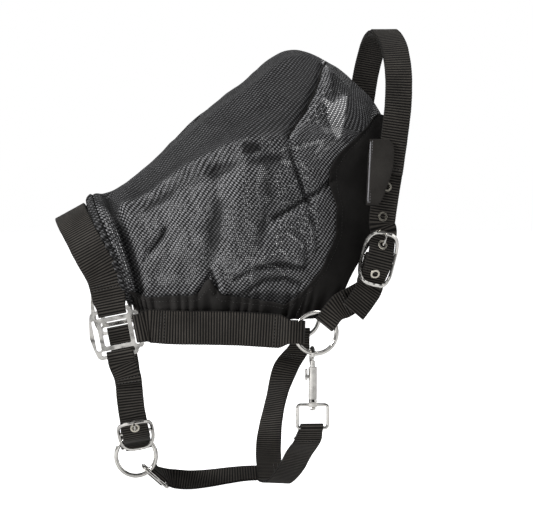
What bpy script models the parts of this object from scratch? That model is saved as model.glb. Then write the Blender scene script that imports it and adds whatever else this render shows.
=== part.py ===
"""Fly mask sewn to a webbing headcollar, with rings, buckles and a bolt snap.

Frame: +Z up, the horse's nose points to -X, its near (left) side to -Y. The origin is on the flat
underside of the crown strap, where it lies on the poll.
"""

import math

import bmesh
import bpy
from mathutils import Matrix, Vector

MM = 0.001
NAME = "fly_mask"

# Webbing
WIDE = 32.0 * MM  # noseband and cheek straps
NARROW = 25.4 * MM  # every other strap
WEB = 2.5 * MM  # thickness of one layer
GAP = 0.35 * MM  # clearance between touching solids
HALF_LAYER = (WEB + GAP) / 2  # from the middle of a doubled strap to one layer's middle
EASE = 13.0 * MM  # length in which two layers close up behind a loop

# Rings
RING_R = 19.4 * MM  # to the middle of the wire
RING_WIRE = 2.1 * MM  # wire radius
RING_X, RING_Y, RING_Z = -73.0 * MM, 84.0 * MM, -283.0 * MM
CHIN_RING = Vector((-241.6, -6.0, -409.5)) * MM
HITCH_R = RING_WIRE + GAP + WEB / 2  # a strap's loop round a ring

# Halter squares
SQUARE_X, SQUARE_Y, SQUARE_Z = -260.6 * MM, 66.0 * MM, -283.0 * MM
SQUARE_TILT = math.radians(11.0)
OFF_RISE = 11.0 * MM  # the off square hangs this much higher than the near one
WINDOW_W, WINDOW_H = 25.0 * MM, 23.0 * MM
INNER_BAR, OUTER_BAR = 4.0 * MM, 3.2 * MM
SLOT = 4.5 * MM
SLOT_HALF = 14.6 * MM  # half the length of a slot
SLOT_PINCH = 0.84  # how a wide strap narrows to pass a slot
CAST = 3.2 * MM  # thickness of the casting
BAR_R = 3.95 * MM  # a strap's loop round an outer bar

# Buckles
BUCKLE_L, BUCKLE_W = 50.0 * MM, 32.5 * MM  # to the middle of the frame's wire
BUCKLE_RISE = 3.8 * MM  # how far the frame's ends stand above its centre bar
CENTRE_BAR = 1.5 * MM
TONGUE_R = 1.0 * MM
EYELET_OUT, EYELET_IN, EYELET_RIM = 4.8 * MM, 2.8 * MM, 0.6 * MM
HOLE_AT, HOLE_PITCH = 13.0 * MM, 28.5 * MM

# Bolt snap, on a vertical axis outside the near ring
SNAP_X, SNAP_Y = -76.5 * MM, -88.5 * MM
SNAP_TOP = RING_Z - RING_R - 12.3 * MM  # top of the tube
TUBE_L, TUBE_R, TUBE_BORE = 30.0 * MM, 4.0 * MM, 2.7 * MM

# Mask
MESH_T, BORDER_T, HEM_T = 1.2 * MM, 1.8 * MM, 2.4 * MM

BLACK_WEB = ("black_webbing", (0.022, 0.020, 0.018, 1), 0.8, 0.0)
MESH_CLOTH = ("fly_mesh", (0.10, 0.10, 0.10, 1), 0.8, 0.0)
BORDER_CLOTH = ("border_cloth", (0.03, 0.028, 0.027, 1), 0.85, 0.0)
CHROME = ("chrome", (0.85, 0.85, 0.86, 1), 0.12, 1.0)
EYELET_METAL = ("eyelet_metal", (0.80, 0.76, 0.66, 1), 0.25, 1.0)
SPRING_STEEL = ("spring_steel", (0.55, 0.55, 0.56, 1), 0.35, 1.0)


def make_collection(name):
    collection = bpy.data.collections.new(name)
    bpy.context.scene.collection.children.link(collection)
    return collection


def material(name, colour, roughness, metallic):
    mat = bpy.data.materials.get(name)
    if mat is None:
        mat = bpy.data.materials.new(name)
        mat.use_nodes = True
        shader = mat.node_tree.nodes["Principled BSDF"]
        shader.inputs["Base Color"].default_value = colour
        shader.inputs["Roughness"].default_value = roughness
        shader.inputs["Metallic"].default_value = metallic
    return mat


def mesh_object(name, vertices, faces, look, smooth=True):
    mesh = bpy.data.meshes.new(name)
    mesh.from_pydata([tuple(v) for v in vertices], [], faces)
    mesh.update()
    obj = bpy.data.objects.new(name, mesh)
    mesh.materials.append(material(*look))
    PARTS.objects.link(obj)
    if smooth:
        mesh.shade_smooth()
        mesh.set_sharp_from_angle(angle=math.radians(35))
    return obj


def set_origin(obj, origin):
    """Puts the object's origin on its joint's axis without moving its mesh."""
    obj.data.transform(obj.matrix_world.inverted() @ Matrix.Translation(-origin) @ obj.matrix_world)
    obj.matrix_world = Matrix.Translation(origin) @ obj.matrix_world
    return obj


def solidify(obj, thickness):
    shell = obj.modifiers.new("Thickness", "SOLIDIFY")
    shell.thickness = thickness
    shell.offset = 0.0
    shell.use_even_offset = True
    return obj


def boolean(obj, tool, operation="DIFFERENCE"):
    cut = obj.modifiers.new("Boolean", "BOOLEAN")
    cut.operation = operation
    cut.object = tool
    cut.solver = "EXACT"
    return obj


def as_cutter(obj):
    for collection in list(obj.users_collection):
        collection.objects.unlink(obj)
    CUTTERS.objects.link(obj)
    obj.hide_render = True
    obj.display_type = "WIRE"
    return obj


def frame_matrix(origin, x_axis, y_axis, z_axis):
    matrix = Matrix.Identity(4)
    for column, axis in enumerate((x_axis, y_axis, z_axis)):
        for row in range(3):
            matrix[row][column] = axis[row]
    matrix.translation = origin
    return matrix


def align_z(origin, direction):
    turn = Vector(direction).to_track_quat("Z", "Y").to_matrix().to_4x4()
    return Matrix.Translation(origin) @ turn


def primitive(name, look, make, matrix):
    """Adds a bmesh.ops shape, placed by a matrix, as its own object."""
    bm = bmesh.new()
    make(bm)
    bm.transform(matrix)
    mesh = bpy.data.meshes.new(name)
    bm.to_mesh(mesh)
    bm.free()
    obj = bpy.data.objects.new(name, mesh)
    mesh.materials.append(material(*look))
    PARTS.objects.link(obj)
    mesh.shade_smooth()
    mesh.set_sharp_from_angle(angle=math.radians(35))
    return obj


def cylinder(name, look, matrix, radius, length, sides=16):
    def make(bm):
        bmesh.ops.create_cone(
            bm, cap_ends=True, segments=sides, radius1=radius, radius2=radius, depth=length
        )

    return primitive(name, look, make, matrix)


def box(name, look, matrix, size):
    def make(bm):
        bmesh.ops.create_cube(bm, size=1.0, matrix=Matrix.Diagonal((*size, 1.0)))

    return primitive(name, look, make, matrix)


def curve_mesh(name, splines, look, bevel=0.0, extrude=0.0, flat=False, sides=2):
    """A poly curve made a mesh. splines is a list of (points, closed), a point being (x, y, z, radius)."""
    curve = bpy.data.curves.new(name, "CURVE")
    curve.dimensions = "2D" if flat else "3D"
    curve.fill_mode = "BOTH" if flat else "FULL"
    curve.bevel_depth = bevel
    curve.bevel_resolution = sides
    curve.extrude = extrude
    curve.use_fill_caps = not flat
    for points, closed in splines:
        spline = curve.splines.new("POLY")
        spline.points.add(len(points) - 1)
        spline.use_cyclic_u = closed
        for point, value in zip(spline.points, points):
            point.co = (value[0], value[1], value[2], 1.0)
            point.radius = value[3] if len(value) > 3 else 1.0
    source = bpy.data.objects.new(name + "_curve", curve)
    PARTS.objects.link(source)
    graph = bpy.context.evaluated_depsgraph_get()
    mesh = bpy.data.meshes.new_from_object(source.evaluated_get(graph), depsgraph=graph)
    bpy.data.objects.remove(source)
    bm = bmesh.new()
    bm.from_mesh(mesh)
    bmesh.ops.remove_doubles(bm, verts=bm.verts, dist=0.01 * MM)
    bmesh.ops.recalc_face_normals(bm, faces=bm.faces)
    bm.to_mesh(mesh)
    bm.free()
    mesh.name = name
    mesh.materials.clear()
    mesh.materials.append(material(*look))
    obj = bpy.data.objects.new(name, mesh)
    PARTS.objects.link(obj)
    mesh.shade_smooth()
    mesh.set_sharp_from_angle(angle=math.radians(40))
    return obj


def ring(name, centre, axis):
    """A welded ring of round wire, a profile turned once round the ring's axis."""
    steps, facets = 28, 8
    vertices, faces = [], []
    for i in range(steps):
        a = 2 * math.pi * i / steps
        for j in range(facets):
            b = 2 * math.pi * j / facets
            r = RING_R + RING_WIRE * math.cos(b)
            vertices.append((r * math.cos(a), r * math.sin(a), RING_WIRE * math.sin(b)))
            faces.append((
                i * facets + j,
                (i + 1) % steps * facets + j,
                (i + 1) % steps * facets + (j + 1) % facets,
                i * facets + (j + 1) % facets,
            ))
    obj = mesh_object(name, vertices, faces, CHROME)
    obj.matrix_world = align_z(centre, axis)
    return obj


def catmull(a, b, c, d, t):
    return 0.5 * (2 * b + (c - a) * t + (2 * a - 5 * b + 4 * c - d) * t * t + (3 * b - a - 3 * c + d) * t**3)


def smooth_fall(distance, hold):
    """1 within hold of a loop's end, then down to 0 over EASE."""
    t = min(max((distance - hold) / EASE, 0.0), 1.0)
    return 1.0 - t * t * (3.0 - 2.0 * t)


class Run:
    """A strap's middle line: position, direction, width direction and outward normal at a distance."""

    STEP = 1.5 * MM

    def __init__(self, stations, square=True):
        """stations is a list of (x, y, z, width x, y, z) in millimetres. Unless square, the widths may slant."""
        self.square = square
        points = [Vector(s[:3]) * MM for s in stations]
        widths = [Vector(s[3:]).normalized() for s in stations]
        points = [2 * points[0] - points[1], *points, 2 * points[-1] - points[-2]]
        widths = [widths[0], *widths, widths[-1]]
        self.points, self.widths = [], []
        for i in range(1, len(points) - 2):
            count = max(2, math.ceil((points[i + 1] - points[i]).length / self.STEP))
            for k in range(count + (i == len(points) - 3)):
                t = k / count
                self.points.append(catmull(*points[i - 1 : i + 3], t))
                self.widths.append(catmull(*widths[i - 1 : i + 3], t))
        self.along = [0.0]
        for a, b in zip(self.points, self.points[1:]):
            self.along.append(self.along[-1] + (b - a).length)
        self.length = self.along[-1]

    def at(self, distance):
        distance = min(max(distance, 0.0), self.length)
        i = 0
        while i < len(self.along) - 2 and self.along[i + 1] < distance:
            i += 1
        t = (distance - self.along[i]) / (self.along[i + 1] - self.along[i])
        place = self.points[i].lerp(self.points[i + 1], t)
        before = self.points[max(i - 1, 0)]
        after = self.points[min(i + 2, len(self.points) - 1)]
        direction = (after - before).normalized()
        width = self.widths[i].lerp(self.widths[i + 1], t)
        if self.square:
            width = width - width.dot(direction) * direction
        width = width.normalized()
        return place, direction, width, direction.cross(width).normalized()

    def nearest(self, target):
        return min(zip(self.points, self.along), key=lambda pair: (pair[0] - target).length)[1]


class Loop:
    """A strap's turn round a bar or a ring."""

    def __init__(self, radius, lap, hold=0.0, pinch=1.0):
        self.radius, self.lap, self.hold, self.pinch = radius, lap, hold, pinch


def half_turn(pivot, radius, start, onward, width, steps=9):
    """Points of a half circle from pivot + start * radius, by way of onward."""
    points = []
    for k in range(1, steps):
        angle = math.pi * k / steps
        points.append((pivot + radius * (start * math.cos(angle) + onward * math.sin(angle)), width))
    return points


def webbing_path(run, width, side, first=None, last=None):
    """Places and half width vectors of a strap that follows the run and turns round a bar at its ends."""
    spacing = HALF_LAYER

    def station(distance, lapped):
        place, _, across, normal = run.at(distance)
        lift, pinch = 0.0, 1.0
        for loop, away in ((first, distance), (last, run.length - distance)):
            if loop:
                fall = smooth_fall(away, loop.hold)
                lift += (loop.radius - spacing) * fall
                pinch -= (1.0 - loop.pinch) * smooth_fall(away, loop.hold)
        offset = side * (2 * spacing + lift) if lapped else -side * lift
        return place + offset * normal, across * width / 2 * pinch

    def stretch(start, stop, lapped):
        count = max(2, math.ceil(abs(stop - start) / Run.STEP))
        return [station(start + (stop - start) * k / count, lapped) for k in range(count + 1)]

    path = []
    if first:
        place, direction, across, normal = run.at(0.0)
        path += stretch(first.lap, 0.0, True)
        pivot = place + side * spacing * normal
        path += half_turn(pivot, first.radius, side * normal, -direction, across * width / 2 * first.pinch)
    path += stretch(0.0, run.length, False)
    if last:
        place, direction, across, normal = run.at(run.length)
        pivot = place + side * spacing * normal
        path += half_turn(pivot, last.radius, -side * normal, direction, across * width / 2 * last.pinch)
        path += stretch(run.length, run.length - last.lap, True)
    return path


def thin_out(path, tolerance=0.07 * MM, longest=30.0 * MM):
    """Drops the stations that lie on the chord between their neighbours."""

    def strays(i, j):
        for k in range(i + 1, j):
            t = (k - i) / (j - i)
            for sign in (-1, 0, 1):
                a = path[i][0] + sign * path[i][1]
                b = path[j][0] + sign * path[j][1]
                p = path[k][0] + sign * path[k][1]
                chord = b - a
                if chord.length > 0:
                    t = min(max((p - a).dot(chord) / chord.length_squared, 0.0), 1.0)
                if (a + chord * t - p).length > tolerance:
                    return True
        return (path[j][0] - path[i][0]).length > longest

    kept, i = [path[0]], 0
    while i < len(path) - 1:
        j = i + 1
        while j + 1 < len(path) and not strays(i, j + 1):
            j += 1
        kept.append(path[j])
        i = j
    return kept


def webbing(name, path, mirrored=False):
    """A strip of webbing along a path, given its thickness by Solidify."""
    sign = -1 if mirrored else 1
    vertices = []
    for place, half in thin_out(path):
        for end in (place - half, place + half):
            vertices.append(Vector((end.x, sign * end.y, end.z)))
    faces = [(i, i + 1, i + 3, i + 2) for i in range(0, len(vertices) - 2, 2)]
    return solidify(mesh_object(name, vertices, faces, BLACK_WEB), WEB)


# Headcollar straps ------------------------------------------------------------------------------


def square_axes():
    across = Vector((math.cos(SQUARE_TILT), 0, math.sin(SQUARE_TILT)))
    up = Vector((-math.sin(SQUARE_TILT), 0, math.cos(SQUARE_TILT)))
    return across, up


def square_bar(right, up):
    """Middle of one of the near square's outer bars: right or up is -1, 0 or 1."""
    across_axis, up_axis = square_axes()
    reach = INNER_BAR + SLOT + OUTER_BAR / 2
    centre = Vector((SQUARE_X, -SQUARE_Y, SQUARE_Z))
    return (
        centre
        + across_axis * right * (WINDOW_W / 2 + reach)
        + up_axis * up * (WINDOW_H / 2 + reach)
    )


def millimetres(point):
    return tuple(c / MM for c in point)


def bar_start(bar, outward, side):
    """A run's first point, when its lapped loop turns round the bar."""
    return millimetres(bar - side * HALF_LAYER * outward)


def rounded_loop(length, width, corner, steps=3):
    points = []
    for sx, sy, turn in ((1, 1, 0), (-1, 1, 1), (-1, -1, 2), (1, -1, 3)):
        for k in range(steps + 1):
            a = math.pi / 2 * (turn + k / steps)
            x = sx * (length / 2 - corner) + corner * math.cos(a)
            y = sy * (width / 2 - corner) + corner * math.sin(a)
            points.append((x, y, 0))
    return points


def halter_square(name, side):
    """Cast fitting with a central window and a strap slot on each side of it."""
    reach_w = WINDOW_W / 2 + INNER_BAR
    reach_h = WINDOW_H / 2 + INNER_BAR
    far_w, far_h = reach_w + SLOT + OUTER_BAR, reach_h + SLOT + OUTER_BAR
    prong = SLOT_HALF + 3.2 * MM
    round_off, bow = 2.0 * MM, 1.2 * MM
    quarter = [
        (far_w, 0),
        (far_w, prong - round_off),
        (far_w - round_off, prong),
        (prong + round_off, prong),
        (prong, prong + round_off),
        (prong, far_h - round_off),
        (prong - round_off, far_h),
        (0, far_h),
    ]
    bowed_side = [
        (-prong - 0.5 * MM, far_h),
        (-prong - 3.5 * MM, far_h - 2.5 * MM),
        (-far_w + 0.6 * MM, far_h / 2),
        (-far_w - bow, 0),
    ]
    lower_left = [(x, -y) for x, y in reversed(bowed_side[:-1])]
    lower_right = [(x, -y) for x, y in reversed(quarter[1:])]
    outline = [(x, y, 0) for x, y in quarter + bowed_side + lower_left + lower_right]

    def rounded(cx, cy, w, h, r=1.2 * MM):
        return [(x + cx, y + cy, z) for x, y, z in rounded_loop(w, h, r, 1)]

    shift = 1.2 * MM
    holes = [
        rounded(0, 0, WINDOW_W, WINDOW_H),
        rounded(-shift, reach_h + SLOT / 2, 2 * (SLOT_HALF + shift), SLOT),
        rounded(-shift, -reach_h - SLOT / 2, 2 * (SLOT_HALF + shift), SLOT),
        rounded(reach_w + SLOT / 2, 0, SLOT, 2 * SLOT_HALF),
        rounded(-reach_w - SLOT / 2, 0, SLOT, 2 * SLOT_HALF),
    ]
    obj = curve_mesh(
        name, [(outline, True)] + [(h, True) for h in holes], CHROME, 0.0, CAST / 2, True
    )
    across, up = square_axes()
    rise = OFF_RISE if side > 0 else 0.0
    centre = Vector((SQUARE_X, side * SQUARE_Y, SQUARE_Z + rise))
    obj.matrix_world = frame_matrix(centre, across, up, across.cross(up))
    soften = obj.modifiers.new("Edges", "BEVEL")
    soften.width = 0.9 * MM
    soften.segments = 2
    soften.limit_method = "ANGLE"
    soften.angle_limit = math.radians(60)
    return obj


def ahead(point, direction, distance):
    """The place this many millimetres on from a point given in millimetres."""
    return tuple(p + d * distance for p, d in zip(point, direction))


def noseband():
    across, up = square_axes()
    start = bar_start(square_bar(0, 1), Vector((0, -1, 0)), -1)
    near = [
        (*start, *-across),
        (*ahead(start, up, 5), *-across),
        (*ahead(start, up, 9), *-across),
        (-272.0, -65.0, -231.0, -0.92, 0, -0.38),
        (-283.5, -61.5, -210.0, -0.876, 0, -0.483),
        (-292.5, -53.0, -193.0, -0.876, 0, -0.483),
        (-299.8, -37.0, -180.0, -0.876, 0, -0.483),
        (-303.5, -19.0, -173.2, -0.876, 0, -0.483),
    ]
    rise = OFF_RISE / MM
    lift = [rise, rise, rise, 0.45 * rise, 0, 0, 0, 0]
    off = [(a, -b, c + up, *w) for (a, b, c, *w), up in zip(reversed(near), reversed(lift))]
    run = Run([*near, (-304.6, 0.0, -171.2, -0.876, 0, -0.483), *off])
    near_tail = Loop(BAR_R, 27 * MM, pinch=SLOT_PINCH)
    off_tail = Loop(BAR_R, 24 * MM, pinch=SLOT_PINCH)
    webbing("noseband", webbing_path(run, WIDE, -1, near_tail, off_tail))


def cheek_strap(name, mirrored):
    rise = OFF_RISE / MM if mirrored else 0
    spread = 1.5 if mirrored else 0
    across, up = square_axes()
    x, y, z = bar_start(square_bar(1, 0), Vector((0, -1, 0)), -1)
    start = (x, y, z + rise)
    end_x = (RING_X - 15.1 * MM) / MM
    y = (-RING_Y - HALF_LAYER) / MM
    run = Run([
        (*start, *up),
        (*ahead(start, across, 5), *up),
        (*ahead(start, across, 9), *up),
        (-205.0, -70.5 - spread, -278.3 + 0.55 * rise, -0.06, 0, 1),
        (-150.0, -77.5 - spread, -279.0 + 0.15 * rise, 0, 0, 1),
        (end_x - 16, y, -281.3, 0, 0, 1),
        (end_x, y, -282.0, 0, 0, 1),
    ])
    half = run.length / 2
    front = Loop(BAR_R, half - 0.3 * MM, pinch=SLOT_PINCH)
    rear = Loop(HITCH_R, half - 0.3 * MM, hold=8.0 * MM, pinch=0.68)
    webbing(name, webbing_path(run, WIDE, -1, front, rear), mirrored)


RING_INSET = 4.3 * MM  # from the ring's middle line in to where a strap's loop turns


def ring_end(angle, side_y, lift, beyond=0.0):
    """Where a strap's loop turns inside a throat ring, at an angle from +X towards +Z."""
    r = RING_R - RING_INSET + beyond
    x, z = RING_X + r * math.cos(angle), RING_Z + r * math.sin(angle)
    return x / MM, (side_y + lift) / MM, z / MM


def chin_buckle_axes():
    up = Vector((-0.10, -0.79, 0.61)).normalized()
    across = Vector((0.985, 0.0, 0.165))
    across = (across - across.dot(up) * up).normalized()
    return Vector((-242.2, -46.0, -380.4)) * MM, up, across, (-up).cross(across)


def crown_buckle_axes():
    up = Vector((0.25, 0.03, 0.96)).normalized()
    across = Vector((-0.96, -0.20, 0.25))
    across = (across - across.dot(up) * up).normalized()
    return Vector((-14.5, -83.0, -213.5)) * MM, up, across, up.cross(across)


def buckle_point(axes, along, outward):
    centre, up, across, normal = axes
    return centre + up * along * MM + normal * outward * MM


def threaded(axes, places):
    """Stations of a strap in a buckle, each given along the buckle and outward from its centre bar."""
    return [(*millimetres(buckle_point(axes, *place)), *axes[2]) for place in places]


# Behind one end of the frame, over the centre bar and behind the other end
THREADING = [(-26.0, -1.6), (-19.5, -1.2), (-13.0, 1.8), (-7.0, 4.9), (0.0, 6.4)]
THREADING += [(7.0, 4.9), (13.0, 1.8), (19.5, -1.2), (26.0, -1.6)]
# Behind the threaded strap, closing on the centre bar
BACKING = [(-32.0, -6.9), (-22.0, -6.7), (-13.0, -4.9), (0.0, -HALF_LAYER / MM)]
BAR_LAP = 9 * MM
BAR_LOOP = CENTRE_BAR + 0.5 * MM + WEB / 2


def crown_strap():
    axes = crown_buckle_axes()
    width = (-1, 0, 0)
    h = HALF_LAYER
    near = [
        (-10.4, -81.2, -180.5, -0.985, -0.12, 0.1),
        (-8.4, -78.8, -164.0, *width),
        (-5.8, -76.4, -149.0, *width),
        (-2.6, -73.2, -131.0, *width),
        (3.6, -67.0, -92.0, *width),
        (7.0, -62.0, -66.0, *width),
        (8.2, -54.5, -40.0, *width),
        (6.8, -41.0, -17.5, *width),
        (3.6, -28.0, -5.2, *width),
        *[(0.0, y, WEB / 2 / MM, *width) for y in (-15.0, -8.0, 0.0, 8.0, 15.0)],
    ]
    off = [
        (-3.6, 28.0, -5.2, -0.99, 0, 0.1),
        (-6.5, 41.0, -17.5, -0.98, 0, 0.16),
        (-10.0, 53.5, -38.0, -0.97, 0, 0.2),
        (-14.5, 63.5, -72.0, -0.97, 0, 0.22),
        (-27.0, 73.5, -134.0, -0.97, 0, 0.22),
        (-41.5, 82.0, -200.0, -0.97, 0, 0.24),
    ]
    angle = math.radians(66)
    run = Run([
        (-38.6, -91.6, -262.5, -0.82, -0.2, 0.53),
        (-31.5, -89.6, -253.5, -0.87, -0.2, 0.43),
        (-26.0, -87.0, -246.0, -0.93, -0.2, 0.31),
        *threaded(axes, THREADING),
        *near,
        *off,
        (*ring_end(angle, RING_Y, -h, 18 * MM), -0.91, 0, 0.41),
        (*ring_end(angle, RING_Y, -h), -0.91, 0, 0.41),
    ])
    lap_end = run.nearest(Vector((-3.2, -73.0, -133.0)) * MM)
    last = Loop(HITCH_R, run.length - lap_end, hold=8.5 * MM, pinch=0.84)
    strap = webbing("crown_strap", webbing_path(run, NARROW, 1, None, last))
    at_tongue = run.nearest(buckle_point(axes, HOLE_AT / MM, 3.0))
    for number in range(1, 5):
        distance = at_tongue + HOLE_PITCH * (number - 2)
        eyelet(f"crown_eyelet_{number}", strap, run.at(distance))


def eyelet(name, strap, place_frame):
    """A turned grommet through the strap, and the hole that it sits in."""
    place, _, _, normal = place_frame
    matrix = align_z(place, normal)
    boolean(strap, as_cutter(cylinder(name + "_cut", BLACK_WEB, matrix, EYELET_IN + 0.9 * MM, 8 * MM)))
    inner, sleeve = EYELET_IN, EYELET_IN + 0.5 * MM
    face = WEB / 2 + 0.6 * MM
    rim = face + EYELET_RIM
    profile = [
        (inner, rim), (EYELET_OUT - 0.3 * MM, rim), (EYELET_OUT, face), (sleeve, face),
        (sleeve, -face), (EYELET_OUT, -face), (EYELET_OUT - 0.3 * MM, -rim), (inner, -rim),
    ]
    return turned(name, profile, EYELET_METAL, matrix, 14)


def turned(name, profile, look, matrix, sides):
    """A profile, listed clockwise with Z up, turned round Z by Screw. It may start and end on the axis."""
    vertices = [(r, 0, z) for r, z in profile]
    mesh = bpy.data.meshes.new(name)
    edges = [(i, (i + 1) % len(profile)) for i in range(len(profile))]
    mesh.from_pydata(vertices, edges, [])
    mesh.materials.append(material(*look))
    obj = bpy.data.objects.new(name, mesh)
    PARTS.objects.link(obj)
    obj.matrix_world = matrix
    screw = obj.modifiers.new("Turn", "SCREW")
    screw.axis = "Z"
    screw.steps = sides
    screw.render_steps = sides
    screw.use_merge_vertices = True
    screw.merge_threshold = 0.01 * MM
    screw.use_smooth_shade = True
    return obj


def crown_billet():
    """The strap that carries the crown buckle, from the near ring to the centre bar."""
    axes = crown_buckle_axes()
    angle = math.radians(48)
    run = Run([
        (*ring_end(angle, -RING_Y, HALF_LAYER), -0.76, 0, 0.65),
        (*ring_end(angle, -RING_Y, HALF_LAYER, 16 * MM), -0.76, 0, 0.65),
        *threaded(axes, BACKING),
    ])
    ring_loop = Loop(HITCH_R, 27 * MM, hold=8.5 * MM, pinch=0.8)
    bar_loop = Loop(BAR_LOOP, BAR_LAP)
    strap = webbing("crown_billet", webbing_path(run, NARROW, 1, ring_loop, bar_loop))
    slot_for_tongue(strap, axes)


def slot_for_tongue(strap, axes):
    centre, up, across, normal = axes
    matrix = frame_matrix(centre + up * 1.5 * MM, across, up, across.cross(up))
    size = (4.0 * MM, 13.0 * MM, 11.5 * MM)
    boolean(strap, as_cutter(box(strap.name + "_slot", BLACK_WEB, matrix, size)))


def buckle(prefix, axes):
    """Oval wire frame with raised ends, its centre bar and the tongue that turns on it."""
    centre, up, across, normal = axes
    matrix = frame_matrix(centre, across, up, across.cross(up))
    flip = 1 if across.cross(up).dot(normal) > 0 else -1
    outline = []
    steps = 32
    for k in range(steps):
        a = 2 * math.pi * k / steps
        c, s = math.cos(a), math.sin(a)
        squareness = 0.62
        x = BUCKLE_W / 2 * math.copysign(abs(c) ** squareness, c)
        y = BUCKLE_L / 2 * math.copysign(abs(s) ** squareness, s)
        rise = BUCKLE_RISE * (2 * y / BUCKLE_L) ** 2
        outline.append((x, y, flip * rise, 1.1 + 0.25 * abs(s) ** 3))
    frame = curve_mesh(prefix + "_buckle_frame", [(outline, True)], CHROME, CENTRE_BAR, sides=2)
    frame.matrix_world = matrix
    turn = Matrix.Rotation(math.pi / 2, 4, "Y")
    bar = cylinder(prefix + "_centre_bar", CHROME, matrix @ turn, CENTRE_BAR * 0.98, BUCKLE_W, 12)
    boolean(frame, as_cutter(bar), "UNION")

    hook = CENTRE_BAR + GAP + TONGUE_R
    points = []
    for k in range(10):
        a = math.radians(-75 - 28 * k)
        points.append((0, hook * math.cos(a), flip * hook * math.sin(a)))
    shape = ((5.5, -0.5), (9.0, -1.3), (11.0, -0.9), (12.3, 1.0), (13.2, 3.2), (14.0, 5.2), (15.8, 6.8), (19.0, 7.2))
    shape += ((25.5, 7.2),)
    for y, z in shape:
        points.append((0, y * MM, flip * z * MM))
    tongue = curve_mesh(prefix + "_buckle_tongue", [(points, False)], CHROME, TONGUE_R, sides=2)
    tongue.matrix_world = matrix
    return tongue


def chin_straps():
    axes = chin_buckle_axes()
    across, up = square_axes()
    x, y, z = bar_start(square_bar(0, -1), Vector((0, -1, 0)), 1)
    near = Run([
        ((x), y, z, *across),
        (*ahead((x, y, z), up, -5), *across),
        (*ahead((x, y, z), up, -8), *across),
        (-249.6, -65.5, -326.0, 0.99, 0, 0.1),
        (-247.6, -66.0, -345.0, 1, 0, 0.05),
        (-246.2, -66.8, -357.0, 0.99, 0, 0.1),
        *threaded(axes, reversed(THREADING)),
        *threaded(axes, [(-33.0, -0.5)]),
    ])
    strap = webbing("near_chin_strap", webbing_path(near, NARROW, 1, Loop(BAR_R, 29 * MM)))
    at_tongue = near.nearest(buckle_point(axes, HOLE_AT / MM, 3.0))
    eyelet("chin_eyelet", strap, near.at(at_tongue))

    top = (x, -y, z + OFF_RISE / MM)
    ring_x, ring_y, ring_z = millimetres(CHIN_RING)
    off = Run([
        *threaded(axes, reversed(BACKING[1:])),
        (ring_x - 1.7, ring_y, ring_z + 9.6, 0.985, 0, 0.165),
        (ring_x - 2.0, ring_y + 14, ring_z + 10.5, 0.985, 0, 0.14),
        (-244.0, 32.0, -386.0, 1, 0, 0.1),
        (-247.0, 52.0, -362.0, 1, 0, 0.05),
        (-250.0, 63.0, -330.0, 0.99, 0, 0.12),
        (*ahead(top, up, -9), *across),
        (*ahead(top, up, -5), *across),
        (*top, *across),
    ])
    first = Loop(BAR_LOOP, BAR_LAP)
    last = Loop(BAR_R, 27 * MM)
    strap = webbing("off_chin_strap", webbing_path(off, NARROW, 1, first, last))
    slot_for_tongue(strap, axes)


LINK_ALONG = Vector((0.75, 0, -0.66)).normalized()
LINK_CENTRE = CHIN_RING + Vector((18.6, 0.0, -20.0)) * MM
LINK_L, LINK_W, LINK_WIRE = 31.0 * MM, 15.5 * MM, 1.5 * MM


def link_loop():
    """Rectangular wire link, which joins the chin ring to the connector strap."""
    across = Vector((0, 1, 0))
    obj = curve_mesh(
        "link_loop", [(rounded_loop(LINK_L, LINK_W, 3 * MM), True)], CHROME, LINK_WIRE, sides=2
    )
    obj.matrix_world = frame_matrix(LINK_CENTRE, LINK_ALONG, across, LINK_ALONG.cross(across))
    return obj


CROSSING = Vector((-109.5, 8.0, -427.5))  # where the connector strap meets the throat strap, in mm
CROSS_DOWN = Vector((0.0, -0.92, -0.39)).normalized()  # the throat strap's direction there


def connector_strap():
    """From the link to its end, which is sewn flat under the throat strap."""
    bar = LINK_CENTRE + LINK_ALONG * 2.5 * MM + Vector((0, LINK_W / 2, 0))
    away, ahead_x = Vector((0, 1, 0)), Vector((1, 0, 0))
    start = bar - away.cross(-LINK_ALONG) * HALF_LAYER
    under = CROSSING - ahead_x.cross(-CROSS_DOWN) * 2 * HALF_LAYER / MM
    run = Run([
        (*millimetres(start), *-LINK_ALONG),
        (*millimetres(start + away * 3 * MM), *-LINK_ALONG),
        (*millimetres(start + away * 6 * MM), *-LINK_ALONG),
        (-217.5, 15.0, -432.5, -0.66, 0.3, 0.66),
        (-206.0, 21.5, -436.5, -0.35, 0.7, 0.62),
        (-189.0, 20.5, -438.0, -0.05, 0.82, 0.57),
        (-170.0, 15.0, -435.8, 0, 0.86, 0.51),
        (-150.0, 10.8, -432.4, 0, 0.89, 0.45),
        (*(under - 20 * ahead_x), *-CROSS_DOWN),
        (*(under + 10 * ahead_x), *-CROSS_DOWN),
    ])
    first = Loop(LINK_WIRE + GAP + WEB / 2, 14 * MM, pinch=0.74)
    webbing("connector_strap", webbing_path(run, NARROW, 1, first))


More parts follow.
